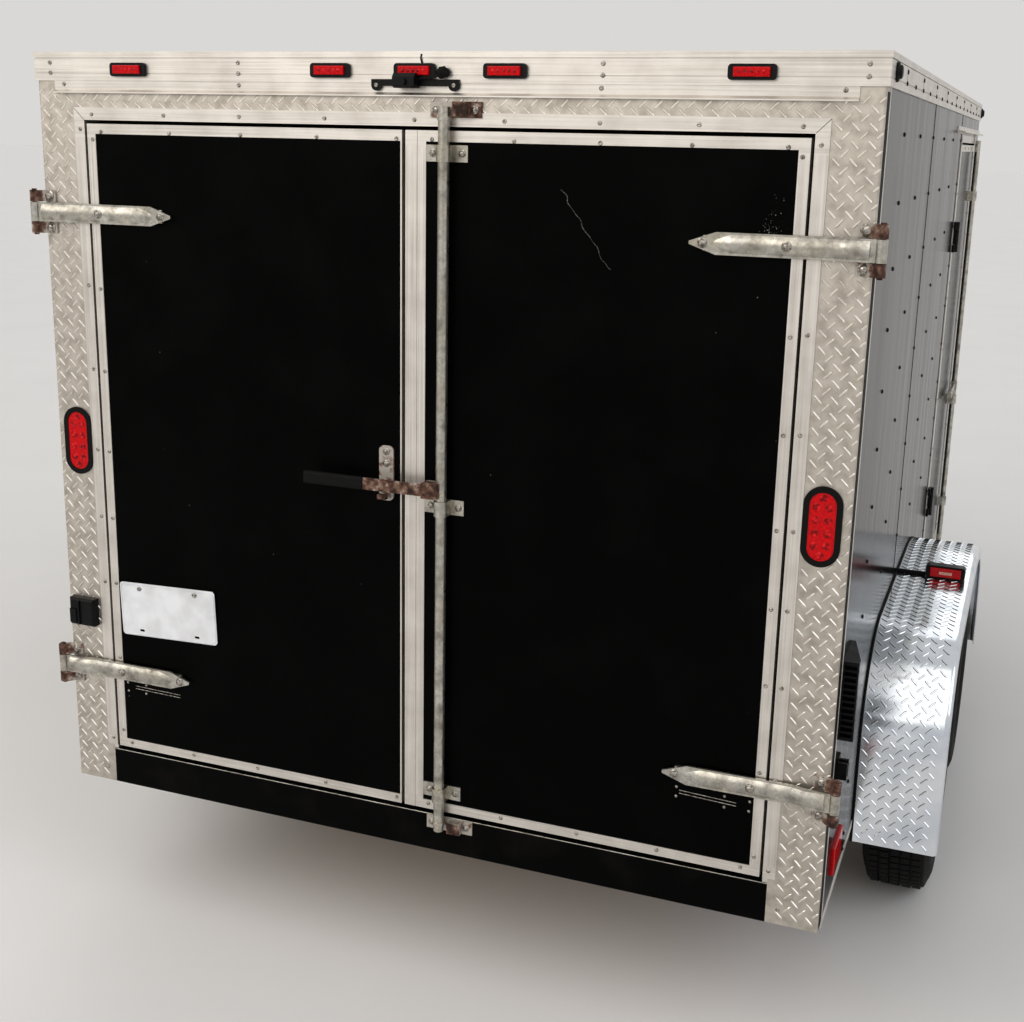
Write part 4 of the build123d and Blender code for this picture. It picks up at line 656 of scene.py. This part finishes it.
# the fender's edge: up, round its tight rear corner, and down the long curve to its front
def fenderLine():
    low, high = fenderLow, fenderHigh
    radius, run, turns, samples = 280 * mm, 829 * mm, 55, 220
    points = [Vector((0, low.y, low.z)), Vector((0, low.y, high.z - radius))]
    for i in range(1, turns + 1):
        turn = math.pi - math.pi / 2 * i / turns
        points.append(Vector((0, low.y + radius * (1 + math.cos(turn)), high.z - radius * (1 - math.sin(turn)))))
    for i in range(samples + 1):
        turn = math.pi / 2 * (1 - i / samples)
        points.append(Vector((0, high.y - run * (1 - math.cos(turn)), low.z + (high.z - low.z) * math.sin(turn))))
    return points


# the point at a distance along the line, the way out of the sheet and the way along it
def onFenderLine(line, distance):
    for i in range(len(line) - 1):
        step = line[i + 1] - line[i]
        if distance <= step.length:
            along = step.normalized()
            return line[i] + along * distance, Vector((0, -along.z, along.y)), along
        distance -= step.length


def fenderTread():
    line = fenderLine()
    margin = (14, 20)
    seal = {"proud": 1.6, "radius": 4.2}
    length = sum((line[i + 1] - line[i]).length for i in range(len(line) - 1)) / mm
    places = []
    for x, s, lean in treadPlaces((fenderHigh.x - fenderLow.x) / mm, length, margin):
        place, out, along = onFenderLine(line, s * mm)
        for hand in (-1, 1):
            spot = Vector((hand * (fenderLow.x + x * mm), place.y, place.z))
            places.append((spot, out, slanted(curb * hand, along, lean)))
    treadBars("fenderTreadBars", places, "brightBar", "bright_tread_plate", coolBarPaintedHighlight)
    print("fender bars", len(places))
    # black sealant where each fender meets the wall
    for side, hand in hands:
        bead = [Vector((hand * (halfWidth + seal["proud"] * mm), p.y, p.z)) for p in line]
        tube("fenderSeal_" + side, bead, seal["radius"], "black_rubber")


def guardTread():
    guard = {"margin": (6, 12), "cornerFoot": 12}
    mould = {"proud": 2, "overlap": 20, "steps": 12, "radius": 5.0}
    low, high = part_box("stone_guard")
    corner = frontY - sideEnd
    flat = halfWidth - corner
    places = []
    for x, z, lean in treadPlaces(2 * flat / mm, (high.z - low.z) / mm, guard["margin"]):
        place = Vector((-flat + x * mm, high.y, low.z + z * mm))
        places.append((place, forward, slanted(curb, up, lean)))
    # round both front corners, along the arc
    for column in range(1, int(corner * math.pi / 2 / mm / tread["pitch"] * 2)):
        turn = column * tread["pitch"] / 2 * mm / corner
        out = Vector((math.sin(turn), math.cos(turn), 0))
        for row in range(column % 2, int((high.z - low.z) / mm / tread["pitch"] * 2) - 1, 2):
            z = low.z + (row * tread["pitch"] / 2 + guard["cornerFoot"]) * mm
            for hand in (-1, 1):
                facing = Vector((out.x * hand, out.y, 0))
                foot = Vector((hand * flat, sideEnd, z))
                places.append((foot + facing * (high.y - sideEnd), facing,
                               slanted(up.cross(facing), up, 1 if column % 2 else -1)))
    treadBars("guardTreadBars", places, "brightBar", "bright_tread_plate", coolBarPaintedHighlight)
    edge, bend = halfWidth + mould["proud"] * mm, corner + mould["proud"] * mm
    rim = [Vector((-edge, sideEnd - mould["overlap"] * mm, high.z))]
    for centre, first in ((-1, math.pi), (1, math.pi / 2)):
        for i in range(mould["steps"] + 1):
            turn = first - math.pi / 2 * i / mould["steps"]
            rim.append(Vector((centre * flat + bend * math.cos(turn), sideEnd + bend * math.sin(turn), high.z)))
    rim.append(Vector((edge, sideEnd - mould["overlap"] * mm, high.z)))
    tube("guardTopMould", rim, mould["radius"], "mill_aluminium")
    print("guard bars", len(places))


postAndHeaderTread()
fenderTread()
guardTread()


def trimAndDoorScrews():
    # x and height in mm; the doors' outer rows mirror each other
    screw = {"size": (10.5, 10.5, 2.6), "face": -2.5, "frameX": 941, "frameTop": 1860, "doorX": 904,
             "doorRows": (1817, 132), "footX": 969, "footHeight": 38, "railX": (-91, 105), "railFace": -11,
             "railHeight": 1937}
    frameSide = [137, 371, 605, 793, 981, 1202, 1424, 1624, 1823]
    frameTop = [-904, -687, -469, -233, 3, 228, 454, 678, 901]
    doorSide = [167, 386, 605, 792, 979, 1198, 1417, 1608, 1798]
    doorAcross = {"rear_door_left": [-878, -672, -466, -255, -43], "rear_door_right": [48, 252, 457, 665, 873]}
    face = screw["face"]
    places = {"trailer_body": []}
    for hand, door in doorHands:
        places["trailer_body"] += [rearSpot(hand * screw["frameX"], face, z) for z in frameSide]
        places[door] = [rearSpot(hand * screw["doorX"], face, z) for z in doorSide]
        places[door] += [rearSpot(x, face, z) for x in doorAcross[door] for z in screw["doorRows"]]
    places["trailer_body"] += [rearSpot(x, face, screw["frameTop"]) for x in frameTop]
    places["trailer_body"] += [rearSpot(hand * screw["footX"], 0, screw["footHeight"]) for hand in (-1, 1)]
    places["trailer_body"] += [rearSpot(x, screw["railFace"], screw["railHeight"]) for x in screw["railX"]]
    for body, spots in places.items():
        fasten(body + "TrimScrews", spots, panHead, screw["size"], body, looseTurn=screwTurn)


def roofTrimScrews():
    screw = {"size": (11, 11, 3.0), "sunk": 1.5, "rows": (1961, 1986), "rearX": (-1022, -466, 458, 1028),
             "railX": (-983, -466, 0, 455, 983), "railFace": -2.8, "railHeight": 1934,
             "pitch": 203.2, "first": 115, "frontPitch": 220}
    sunk = screw["sunk"] * mm
    face, front, side = roofTrimLow.y + sunk, roofTrimHigh.y - sunk, roofTrimHigh.x - sunk
    low, high = [postBottom + z * mm for z in screw["rows"]]
    places = [(Vector((x * mm, face, z)), back, up) for x in screw["rearX"] for z in (low, high)]
    places += [rearSpot(x, screw["railFace"], screw["railHeight"]) for x in screw["railX"]]
    places += [(Vector((i * screw["frontPitch"] * mm, front, z)), forward, up) for i in range(-4, 5)
               for z in (low, high)]
    sidePlaces = []
    for hand in (-1, 1):
        for i in range(int((frontY - rearY) / (screw["pitch"] * mm))):
            y = rearY + (screw["first"] + i * screw["pitch"]) * mm
            sidePlaces += [sideSpot(hand, side, y, z) for z in ((low, high) if i % 2 else (low,))]
    fasten("roofTrimScrews", places, panHead, screw["size"], looseTurn=screwTurn)
    repeat("roofSideScrews", sidePlaces, panHead, screw["size"], "galvanised", finish=looks["black_rubber"],
           looseTurn=screwTurn)


def wallScrews():
    pattern = {"stud": 406.4, "size": (11, 11, 3.6), "frontPitch": 230, "fenderGap": 10, "doorGap": 45,
               "underDoor": 60, "guardGap": 20,
               "rows": [15, 60, 210, 360, 520, 666, 812, 954, 1100, 1245, 1395, 1541, 1695, 1851]}
    gap = pattern["doorGap"] * mm
    places = []
    for i in range(1, int((sideEnd - rearY) / (pattern["stud"] * mm)) + 1):
        y = rearY + i * pattern["stud"] * mm
        beside = sideDoorLow.y - gap < y < sideDoorHigh.y + gap
        for z in pattern["rows"]:
            height = postBottom + z * mm
            if fenderLow.y < y < fenderHigh.y and height < fenderHigh.z + pattern["fenderGap"] * mm:
                continue
            places.append(sideSpot(-1, halfWidth, y, height))
            if not (beside and z > pattern["underDoor"] and height < sideDoorHigh.z + gap):
                places.append(sideSpot(1, halfWidth, y, height))
    for i in range(-4, 5):
        for z in pattern["rows"]:
            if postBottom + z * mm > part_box("stone_guard")[1].z + pattern["guardGap"] * mm:
                x = i * pattern["frontPitch"] * mm
                places.append((Vector((x, frontY, postBottom + z * mm)), forward, up))
    repeat("wallScrews", places, domeHead, pattern["size"], "body_black", finish=looks["black_plastic"])
    print("wall screws", len(places))


# screws up both uprights between two corners of a frame on the curb side
def uprightScrews(low, high, row):
    end, inset = row["end"] * mm, row["inset"] * mm
    heights = [low.z + end + i * (high.z - low.z - 2 * end) / (row["rows"] - 1) for i in range(row["rows"])]
    return [sideSpot(1, halfWidth + row["proud"] * mm, y, z)
            for z in heights for y in (low.y + inset, high.y - inset)]


def sideDoorScrews():
    size = (9, 9, 2.4)
    door = {"rows": 8, "end": 50, "inset": 13, "proud": 2.5}
    doorFrame = {"rows": 10, "end": 30, "inset": 10, "proud": 3}
    low, high, inset = sideDoorLow, sideDoorHigh, door["inset"] * mm
    places = uprightScrews(low, high, door)
    for i in range(1, 4):
        y = low.y + i * (high.y - low.y) / 4
        places += [sideSpot(1, halfWidth + door["proud"] * mm, y, z) for z in (low.z + inset, high.z - inset)]
    fasten("sideDoorScrews", places, panHead, size, "side_door", looseTurn=screwTurn)
    places = uprightScrews(*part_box("side_door_frame"), doorFrame)
    fasten("sideFrameScrews", places, panHead, size, looseTurn=screwTurn)


def hardwareBolts():
    bolt = {"strap": (23, 23, 7), "bracket": (30, 30, 7.5), "guide": (19, 19, 5.0), "rivet": (8, 8, 2.6)}
    hinge = {"heights": (350, 1611), "strap": ((701, -14.5), (886, -21.5)), "bracketX": 1050, "bracketFace": -5,
             "bracketRise": 41}
    # each row is its x, its depth and its heights
    guides = {"rear_door_left": [((-70.5,), -5, (1034, 1064))],
              "rear_door_right": [((52, 125), -4, (175, 941, 1786)), ((58,), -46.5, (987,))],
              "trailer_body": [((60, 156), -4, (83,)), ((60, 156), -6.5, (1884,))]}
    brackets = []
    for hand, door in doorHands:
        straps = [rearSpot(hand * x, depth, z) for z in hinge["heights"] for x, depth in hinge["strap"]]
        brackets += [rearSpot(hand * hinge["bracketX"], hinge["bracketFace"], z + side * hinge["bracketRise"])
                     for z in hinge["heights"] for side in (-1, 1)]
        fasten(door + "StrapBolts", straps, boltHead, bolt["strap"], door)
    for body, rows in guides.items():
        places = [rearSpot(x, depth, z) for across, depth, heights in rows for z in heights for x in across]
        fasten(body + "GuideBolts", places, boltHead, bolt["guide"], body)
    fasten("hingeBracketBolts", brackets, boltHead, bolt["bracket"])
    # rivets and scuffed lines left where hinges were moved
    rivets = {"rear_door_left": [(-883, 314), (-882, 289), (-822, 315), (-823, 289)],
              "rear_door_right": [(706, 310), (706, 285), (824, 308), (825, 280), (885, 306), (884, 281)]}
    scuffs = {"left": ((-857, 303), (-710, 300)), "right": ((713, 298), (853, 292))}
    scuff = {"apart": 4, "width": 1.7, "height": 0.5}
    for body, spots in rivets.items():
        places = [rearSpot(x, 0, z) for x, z in spots]
        fasten(body + "OldRivets", places, domeHead, bolt["rivet"], body, "door_black")
    for side, ends in scuffs.items():
        rows = [(*[fromRear(x, 0, z + shift) for x, z in ends], back, scuff["width"], scuff["height"])
                for shift in (-scuff["apart"], scuff["apart"])]
        strips("oldHingeMark_" + side, rows, "door_black", "rear_door_" + side, fastener)


def licencePlateRim():
    plate = {"centre": (-735, -6.2, 543), "width": 304.8, "height": 152.4, "turn": -2, "corner": 12, "inset": 4,
             "rim": 1.3, "boltX": 88.9, "boltRise": 60.3, "bolt": (13, 13, 3.4)}
    turn = Matrix.Rotation(math.radians(plate["turn"]), 3, "Y")
    centre = fromRear(*plate["centre"])
    w, h, r = plate["width"] / 2 - plate["inset"], plate["height"] / 2 - plate["inset"], plate["corner"]
    line = []
    for cx, cz, first in ((w - r, h - r, 90), (w - r, r - h, 0), (r - w, r - h, -90), (r - w, h - r, 180)):
        for i in range(6):
            angle = math.radians(first - 18 * i)
            x, z = cx + r * math.cos(angle), cz + r * math.sin(angle)
            line.append(centre + turn @ Vector((x * mm, 0, z * mm)))
    tube("plateRim", line, plate["rim"], "plate_white", "rear_door_left", True)
    bolts = [(centre + turn @ Vector((side * plate["boltX"] * mm, 0, plate["boltRise"] * mm)), back, up)
             for side in (-1, 1)]
    fasten("plateBolts", bolts, panHead, plate["bolt"], "rear_door_left")


def lampBeads():
    led = {"size": (19, 19, 1.2), "lampX": 1003, "columns": 13.5, "rows": (-45, -15, 15, 45), "ends": 66,
           "proud": 0.2}
    low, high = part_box("tail_lamps")
    middle = ((low.z + high.z) / 2 - postBottom) / mm
    spots = [(dx, dz) for dx in (-led["columns"], led["columns"]) for dz in led["rows"]]
    spots += [(0, -led["ends"]), (0, led["ends"])]
    face = low.y + led["proud"] * mm
    places = [(Vector(((hand * led["lampX"] + dx) * mm, face, postBottom + (middle + dz) * mm)), back, up)
              for hand in (-1, 1) for dx, dz in spots]
    repeat("tailLampLeds", places, domeHead, led["size"], "red_lens", finish=ledBead)
    marker = {"x": (-781, -212, 7, 230, 788), "face": -20.8, "height": 1969, "beads": (-26, -13, 0, 13, 26),
              "size": (9, 9, 0.9)}
    places = [rearSpot(x + dx, marker["face"], marker["height"]) for x in marker["x"] for dx in marker["beads"]]
    repeat("markerLampLeds", places, domeHead, marker["size"], "red_lens", finish=ledBead)


# the name, the side and the centre of each wheel
def eachWheel():
    for end in ("rear", "front"):
        for side, hand in (("left", -1), ("right", 1)):
            low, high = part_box(f"tyre_{end}_{side}")
            yield f"{end}_{side}", hand, (low + high) / 2


def lugNuts():
    nut = {"size": (21, 21, 17), "count": 6, "circle": 70}
    for name, hand, centre in eachWheel():
        turns = [math.radians(60 * i + 30) for i in range(nut["count"])]
        places = [(centre + Vector((0, math.cos(turn), math.sin(turn))) * nut["circle"] * mm, curb * hand, up)
                  for turn in turns]
        fasten("lugNuts_" + name, places, nutHead, nut["size"], "wheel_" + name, "wheel_silver")


trimAndDoorScrews()
roofTrimScrews()
wallScrews()
sideDoorScrews()
hardwareBolts()
licencePlateRim()
lampBeads()
lugNuts()
print("fasteners placed")


def treadedTyres():
    # the solid tyre's own outline, 8 mm lower under the tread, with blocks up to its full radius
    tyre = {"radius": 343, "bead": 190, "seat": 63.2, "treadHalf": 74, "crown": 3, "depth": 8, "blocks": 76,
            "rows": (0, -30, 30, -61, 61), "blockWidth": 25, "sunk": 0.4, "gap": 2.6}
    top = tyre["radius"] - tyre["depth"]
    right = [(tyre["bead"], 0), (tyre["bead"], tyre["seat"]), (207, tyre["seat"]), (209, 77.2), (222, 90.0),
             (238, 98.4), (258, 102.3), (262, 101.2), (266, 101.9), (284, 99.8), (304, 93.4), (306, 92.0),
             (319, 86.6), (327, 84.0), (333, 80.0), (top - 2, tyre["treadHalf"]), (top, 30)]
    outline = [(r * mm, x * mm) for r, x in right] + [(r * mm, -x * mm) for r, x in reversed(right[1:])]
    length = 2 * math.pi * top / tyre["blocks"] - tyre["gap"]
    for name, hand, centre in eachWheel():
        carcass = lathe("tyreCarcass_" + name, outline, 96, centre, closed=True)
        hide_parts("tyre_" + name)
        placePiece(carcass, "tyre_rubber", "wheel_" + name)
        places = []
        for row, x in enumerate(tyre["rows"]):
            reach = (top - tyre["crown"] * (x / tyre["treadHalf"]) ** 2) * mm
            for i in range(tyre["blocks"]):
                turn = 2 * math.pi * (i + 0.5 * (row % 2)) / tyre["blocks"]
                out = Vector((0, math.cos(turn), math.sin(turn)))
                places.append((centre + out * reach + curb * x * mm, out, out.cross(curb)))
        repeat("tyreTread_" + name, places, block, (tyre["blockWidth"], length, tyre["depth"] - tyre["sunk"]),
               "tyre_rubber", "wheel_" + name)
    print("tyres treaded", len(places), "blocks each")


def edgeStrips():
    # widths and heights of the strips in mm
    size = {"corner": (11, 1.6), "paintedCornerShade": (40, 0.8), "foot": (24, 1.4), "seam": (5, 1.0), "sill": (2.2, 0.6),
            "mitre": (1.2, 0.3), "joint": (1.6, 0.4)}
    corner, footEdge = rearY + 54 * mm, wallBottom + 12 * mm
    shadeFoot, shadeTop = [(rearY + 27 * mm, z) for z in (wallBottom + 20 * mm, postTop - 10 * mm)]
    rows = []
    seamsAndPaintedShade = []
    for hand in (-1, 1):
        rows.append(sideStrip(hand, halfWidth, (corner, wallBottom), (corner, postTop), *size["corner"]))
        for start, end in ((rearY + 61 * mm, fenderLow.y), (fenderHigh.y, sideEnd)):
            rows.append(sideStrip(hand, halfWidth, (start, footEdge), (end, footEdge), *size["foot"]))
        # a matt black strip up each corner's side face beside the post is painted shade
        seamsAndPaintedShade.append(sideStrip(hand, halfWidth, shadeFoot, shadeTop, *size["paintedCornerShade"]))
    strips("cornerAndFootAngles", rows, "mill_aluminium")
    # the first seam stands on the fender, the second on the wall's foot
    for hand in (-1, 1):
        for depth, foot in ((1219.2, fenderHigh.z), (2438.4, wallBottom)):
            y = rearY + depth * mm
            seamsAndPaintedShade.append(sideStrip(hand, halfWidth, (y, foot), (y, postTop), *size["seam"]))
    # the seams are dark joints; the corner strips drawn with them are painted shade
    strips("wallSeams", seamsAndPaintedShade, "black_rubber")
    # a bright strip along the sill's top edge, a painted highlight, and the window and rib of the plate's lamp
    strips("sillEdge", [(fromRear(-948, 0, 102), fromRear(948, 0, 102), back, *size["sill"])], "galvanised")
    strips("plateLampWindow", [(fromRear(x, -26, low), fromRear(x, -26, high), back, width, height)
                               for x, low, high, width, height in ((-1036, 480, 520, 22, 4), (-1016, 476, 546, 5, 5))],
           "black_plastic")
    # mitres at the frame trim's corners, as thin dark cuts
    outer = trimOuter / mm
    mitre = {"reach": 30, "face": -2.5, "low": 1847, "high": 1876}
    cuts = [(fromRear(hand * (outer - mitre["reach"]), mitre["face"], mitre["low"]),
             fromRear(hand * outer, mitre["face"], mitre["high"]), back, *size["mitre"]) for hand in (-1, 1)]
    strips("frameMitres", cuts, "black_rubber")
    joint = {"first": 318, "pitch": 406.4, "count": 8, "ends": (1964, 1993), "sunk": 1.5}
    side = roofTrimHigh.x - joint["sunk"] * mm
    low, high = [postBottom + z * mm for z in joint["ends"]]
    joints = []
    for hand in (-1, 1):
        for i in range(joint["count"]):
            y = rearY + (joint["first"] + i * joint["pitch"]) * mm
            joints.append(sideStrip(hand, side, (y, low), (y, high), *size["joint"]))
    strips("roofTrimJoints", joints, "black_rubber")


def roofEndMarkers():
    marker = {"radius": 21, "depth": 13, "sunk": 1.5, "places": ((92, 1975), (3560, 1975))}
    outline = [(21, -2), (21, 4), (19, 6), (15, 6.5), (14, 11), (10, 13), (5, 12), (0, 12.5)]
    across = 2 * marker["radius"]
    head = lathe("markerHead", [(r / across, h / marker["depth"]) for r, h in outline], 24)
    places = [sideSpot(hand, roofTrimHigh.x - marker["sunk"] * mm, rearY + y * mm, postBottom + z * mm)
              for hand in (-1, 1) for y, z in marker["places"]]
    repeat("roofEndMarkers", places, head, (across, across, marker["depth"]), "black_plastic")
    bpy.data.objects.remove(head)


def wiring():
    lump = {"centre": (80, -15, 1965), "half": (16, 10, 13), "rough": 0.35, "waves": 1.7, "start": (3, 1, 7)}
    cameraLead = {"radius": 2.2, "line": ((68, -17, 1957), (54, -19, 1952), (36, -21, 1952), (18, -20, 1950))}
    lampLead = {"radius": 1.8, "line": ((24, -8, 1986), (21, -7.5, 1997), (23, -7.5, 2006))}
    reflector = {"x": (1198, 1236), "depth": 1304.6, "height": 535, "size": (9, 0.9)}
    fenderLead = {"radius": 7.0, "depth": 1329, "inside": 2, "length": 92.5, "rise": 5.2, "ripple": 0.7, "steps": 16}
    ball = bmesh.new()
    bmesh.ops.create_icosphere(ball, subdivisions=3, radius=1.0)
    centre = fromRear(*lump["centre"])
    for vertex in ball.verts:
        swell = 1 + lump["rough"] * noise.noise(vertex.co * lump["waves"] + Vector(lump["start"]))
        vertex.co = centre + Vector([vertex.co[i] * lump["half"][i] * swell * mm for i in range(3)])
    mesh = bpy.data.meshes.new("cameraPlug")
    ball.to_mesh(mesh)
    ball.free()
    placePiece(shade(addObject("cameraPlug", mesh), True), "black_rubber")
    tube("cameraLead", [fromRear(*point) for point in cameraLead["line"]], cameraLead["radius"], "black_rubber")
    reflectors = [(*[fromRear(hand * x, reflector["depth"], reflector["height"]) for x in reflector["x"]], back,
                   *reflector["size"]) for hand in (-1, 1)]
    strips("fenderReflectors", reflectors, "red_lens", finish=paleLens)
    tube("lampLead", [fromRear(*point) for point in lampLead["line"]], lampLead["radius"], "black_rubber")
    # a ribbed lead from the wall to each fender lamp
    for side, hand in hands:
        line = []
        for i in range(fenderLead["steps"] + 1):
            x = halfWidth - fenderLead["inside"] * mm + fenderLead["length"] * mm * i / fenderLead["steps"]
            z = fenderHigh.z + (fenderLead["rise"] + fenderLead["ripple"] * (i % 2)) * mm
            line.append(Vector((hand * x, rearY + fenderLead["depth"] * mm, z)))
        tube("fenderLampLead_" + side, line, fenderLead["radius"], "black_rubber")


treadedTyres()
edgeStrips()
roofEndMarkers()
wiring()
for head in (bar, block, panHead, domeHead, boltHead, nutHead):
    bpy.data.objects.remove(head)
print("strips and wiring placed")


def makeCamera():
    view = {"focalPx": 1364.9, "centrePx": (519.13, 482.25), "imagePx": (1024, 1022), "sensor": 36.0, "far": 400,
            "yaw": 0.361, "pitch": -0.246, "roll": -0.022, "place": (1403.9, -2973.0, 1821.0)}
    data = bpy.data.cameras.new("photoView")
    width, height = view["imagePx"]
    data.sensor_fit = "HORIZONTAL"
    data.sensor_width = view["sensor"]
    data.lens = view["focalPx"] / width * data.sensor_width
    data.shift_x = (width / 2 - view["centrePx"][0]) / width
    data.shift_y = (view["centrePx"][1] - height / 2) / width
    data.clip_end = view["far"]
    camera = addObject("photoView", data)
    turn = Matrix.Rotation(view["yaw"], 4, "Z") @ Matrix.Rotation(view["pitch"], 4, "X")
    turn = turn @ Matrix.Rotation(view["roll"], 4, "Y") @ Matrix.Rotation(math.pi / 2, 4, "X")
    camera.matrix_world = Matrix.Translation(fromRear(*view["place"])) @ turn
    bpy.context.scene.camera = camera


def addLight(kind, name, place, aim, power, tint, **settings):
    data = bpy.data.lights.new(name, kind)
    data.energy = power
    data.color = colour(tint)[:3]
    for setting, value in settings.items():
        setattr(data, setting, value)
    lamp = addObject(name, data)
    lamp.location = place
    lamp.rotation_euler = (Vector(aim) - Vector(place)).to_track_quat("-Z", "Y").to_euler()


def makeStage():
    light = {"backdrop": "#d9d8d6", "floor": "#e6e5e4", "dim": "#e5e4e3", "bright": "#e8e7e6", "cloud": 900,
             "ambient": 0.62, "reach": 150}
    floor, tree, coords = startMaterial("studioFloor", light["floor"], 0.9, specular=0.1)
    cloud = addNode(tree, "TexNoise", {"Vector": coords}, {"Scale": 1000 / light["cloud"], "Detail": 3.0})
    base = addNode(tree, "ValToRGB", {"Fac": cloud}, stops=[(0.3, light["dim"]), (0.7, light["bright"])])
    finishMaterial(floor, base)
    reach = light["reach"]
    corners = [(-reach, -reach, 0), (reach, -reach, 0), (reach, reach, 0), (-reach, reach, 0)]
    stage = meshObject("studioFloor", corners, [(0, 1, 2, 3)])
    stage.data.materials.append(floor)
    world = bpy.data.worlds.new("studio")
    bpy.context.scene.world = world
    world.use_nodes = True
    tree = world.node_tree
    background = tree.nodes["Background"]
    background.inputs["Color"].default_value = colour(light["backdrop"])
    rays = addNode(tree, "LightPath").outputs
    seen = rays["Is Camera Ray"]
    for kind in ("Is Glossy Ray", "Is Transmission Ray"):
        seen = addNode(tree, "Math", {0: seen, 1: rays[kind]}, operation="MAXIMUM")
    strength = addNode(tree, "MapRange", {"Value": seen}, {3: light["ambient"], 4: 1.0})
    tree.links.new(strength.outputs[0], background.inputs["Strength"])
    # wide suns keep the floor even out to the horizon, and a soft box gives the metal its shine
    addLight("SUN", "keySun", (-4, -8, 9), (0, 0, 1), 1.05, "#fffaf4", angle=math.radians(75))
    addLight("SUN", "fillSun", (8, -3, 7), (0, 0, 1), 0.65, "#f2f6ff", angle=math.radians(50))
    addLight("SUN", "frontSun", (-3, 9, 7), (0, 0, 1), 0.5, "#ffffff", angle=math.radians(50))
    addLight("AREA", "rearSoftBox", (-3.0, rearY - 5.0, 5.2), (0, rearY, 1.4), 110, "#fff7ee", shape="RECTANGLE",
             size=6.0, size_y=4.0)


makeCamera()
makeStage()
bpy.context.scene.view_settings.view_transform = "Standard"
print("camera and lights set")
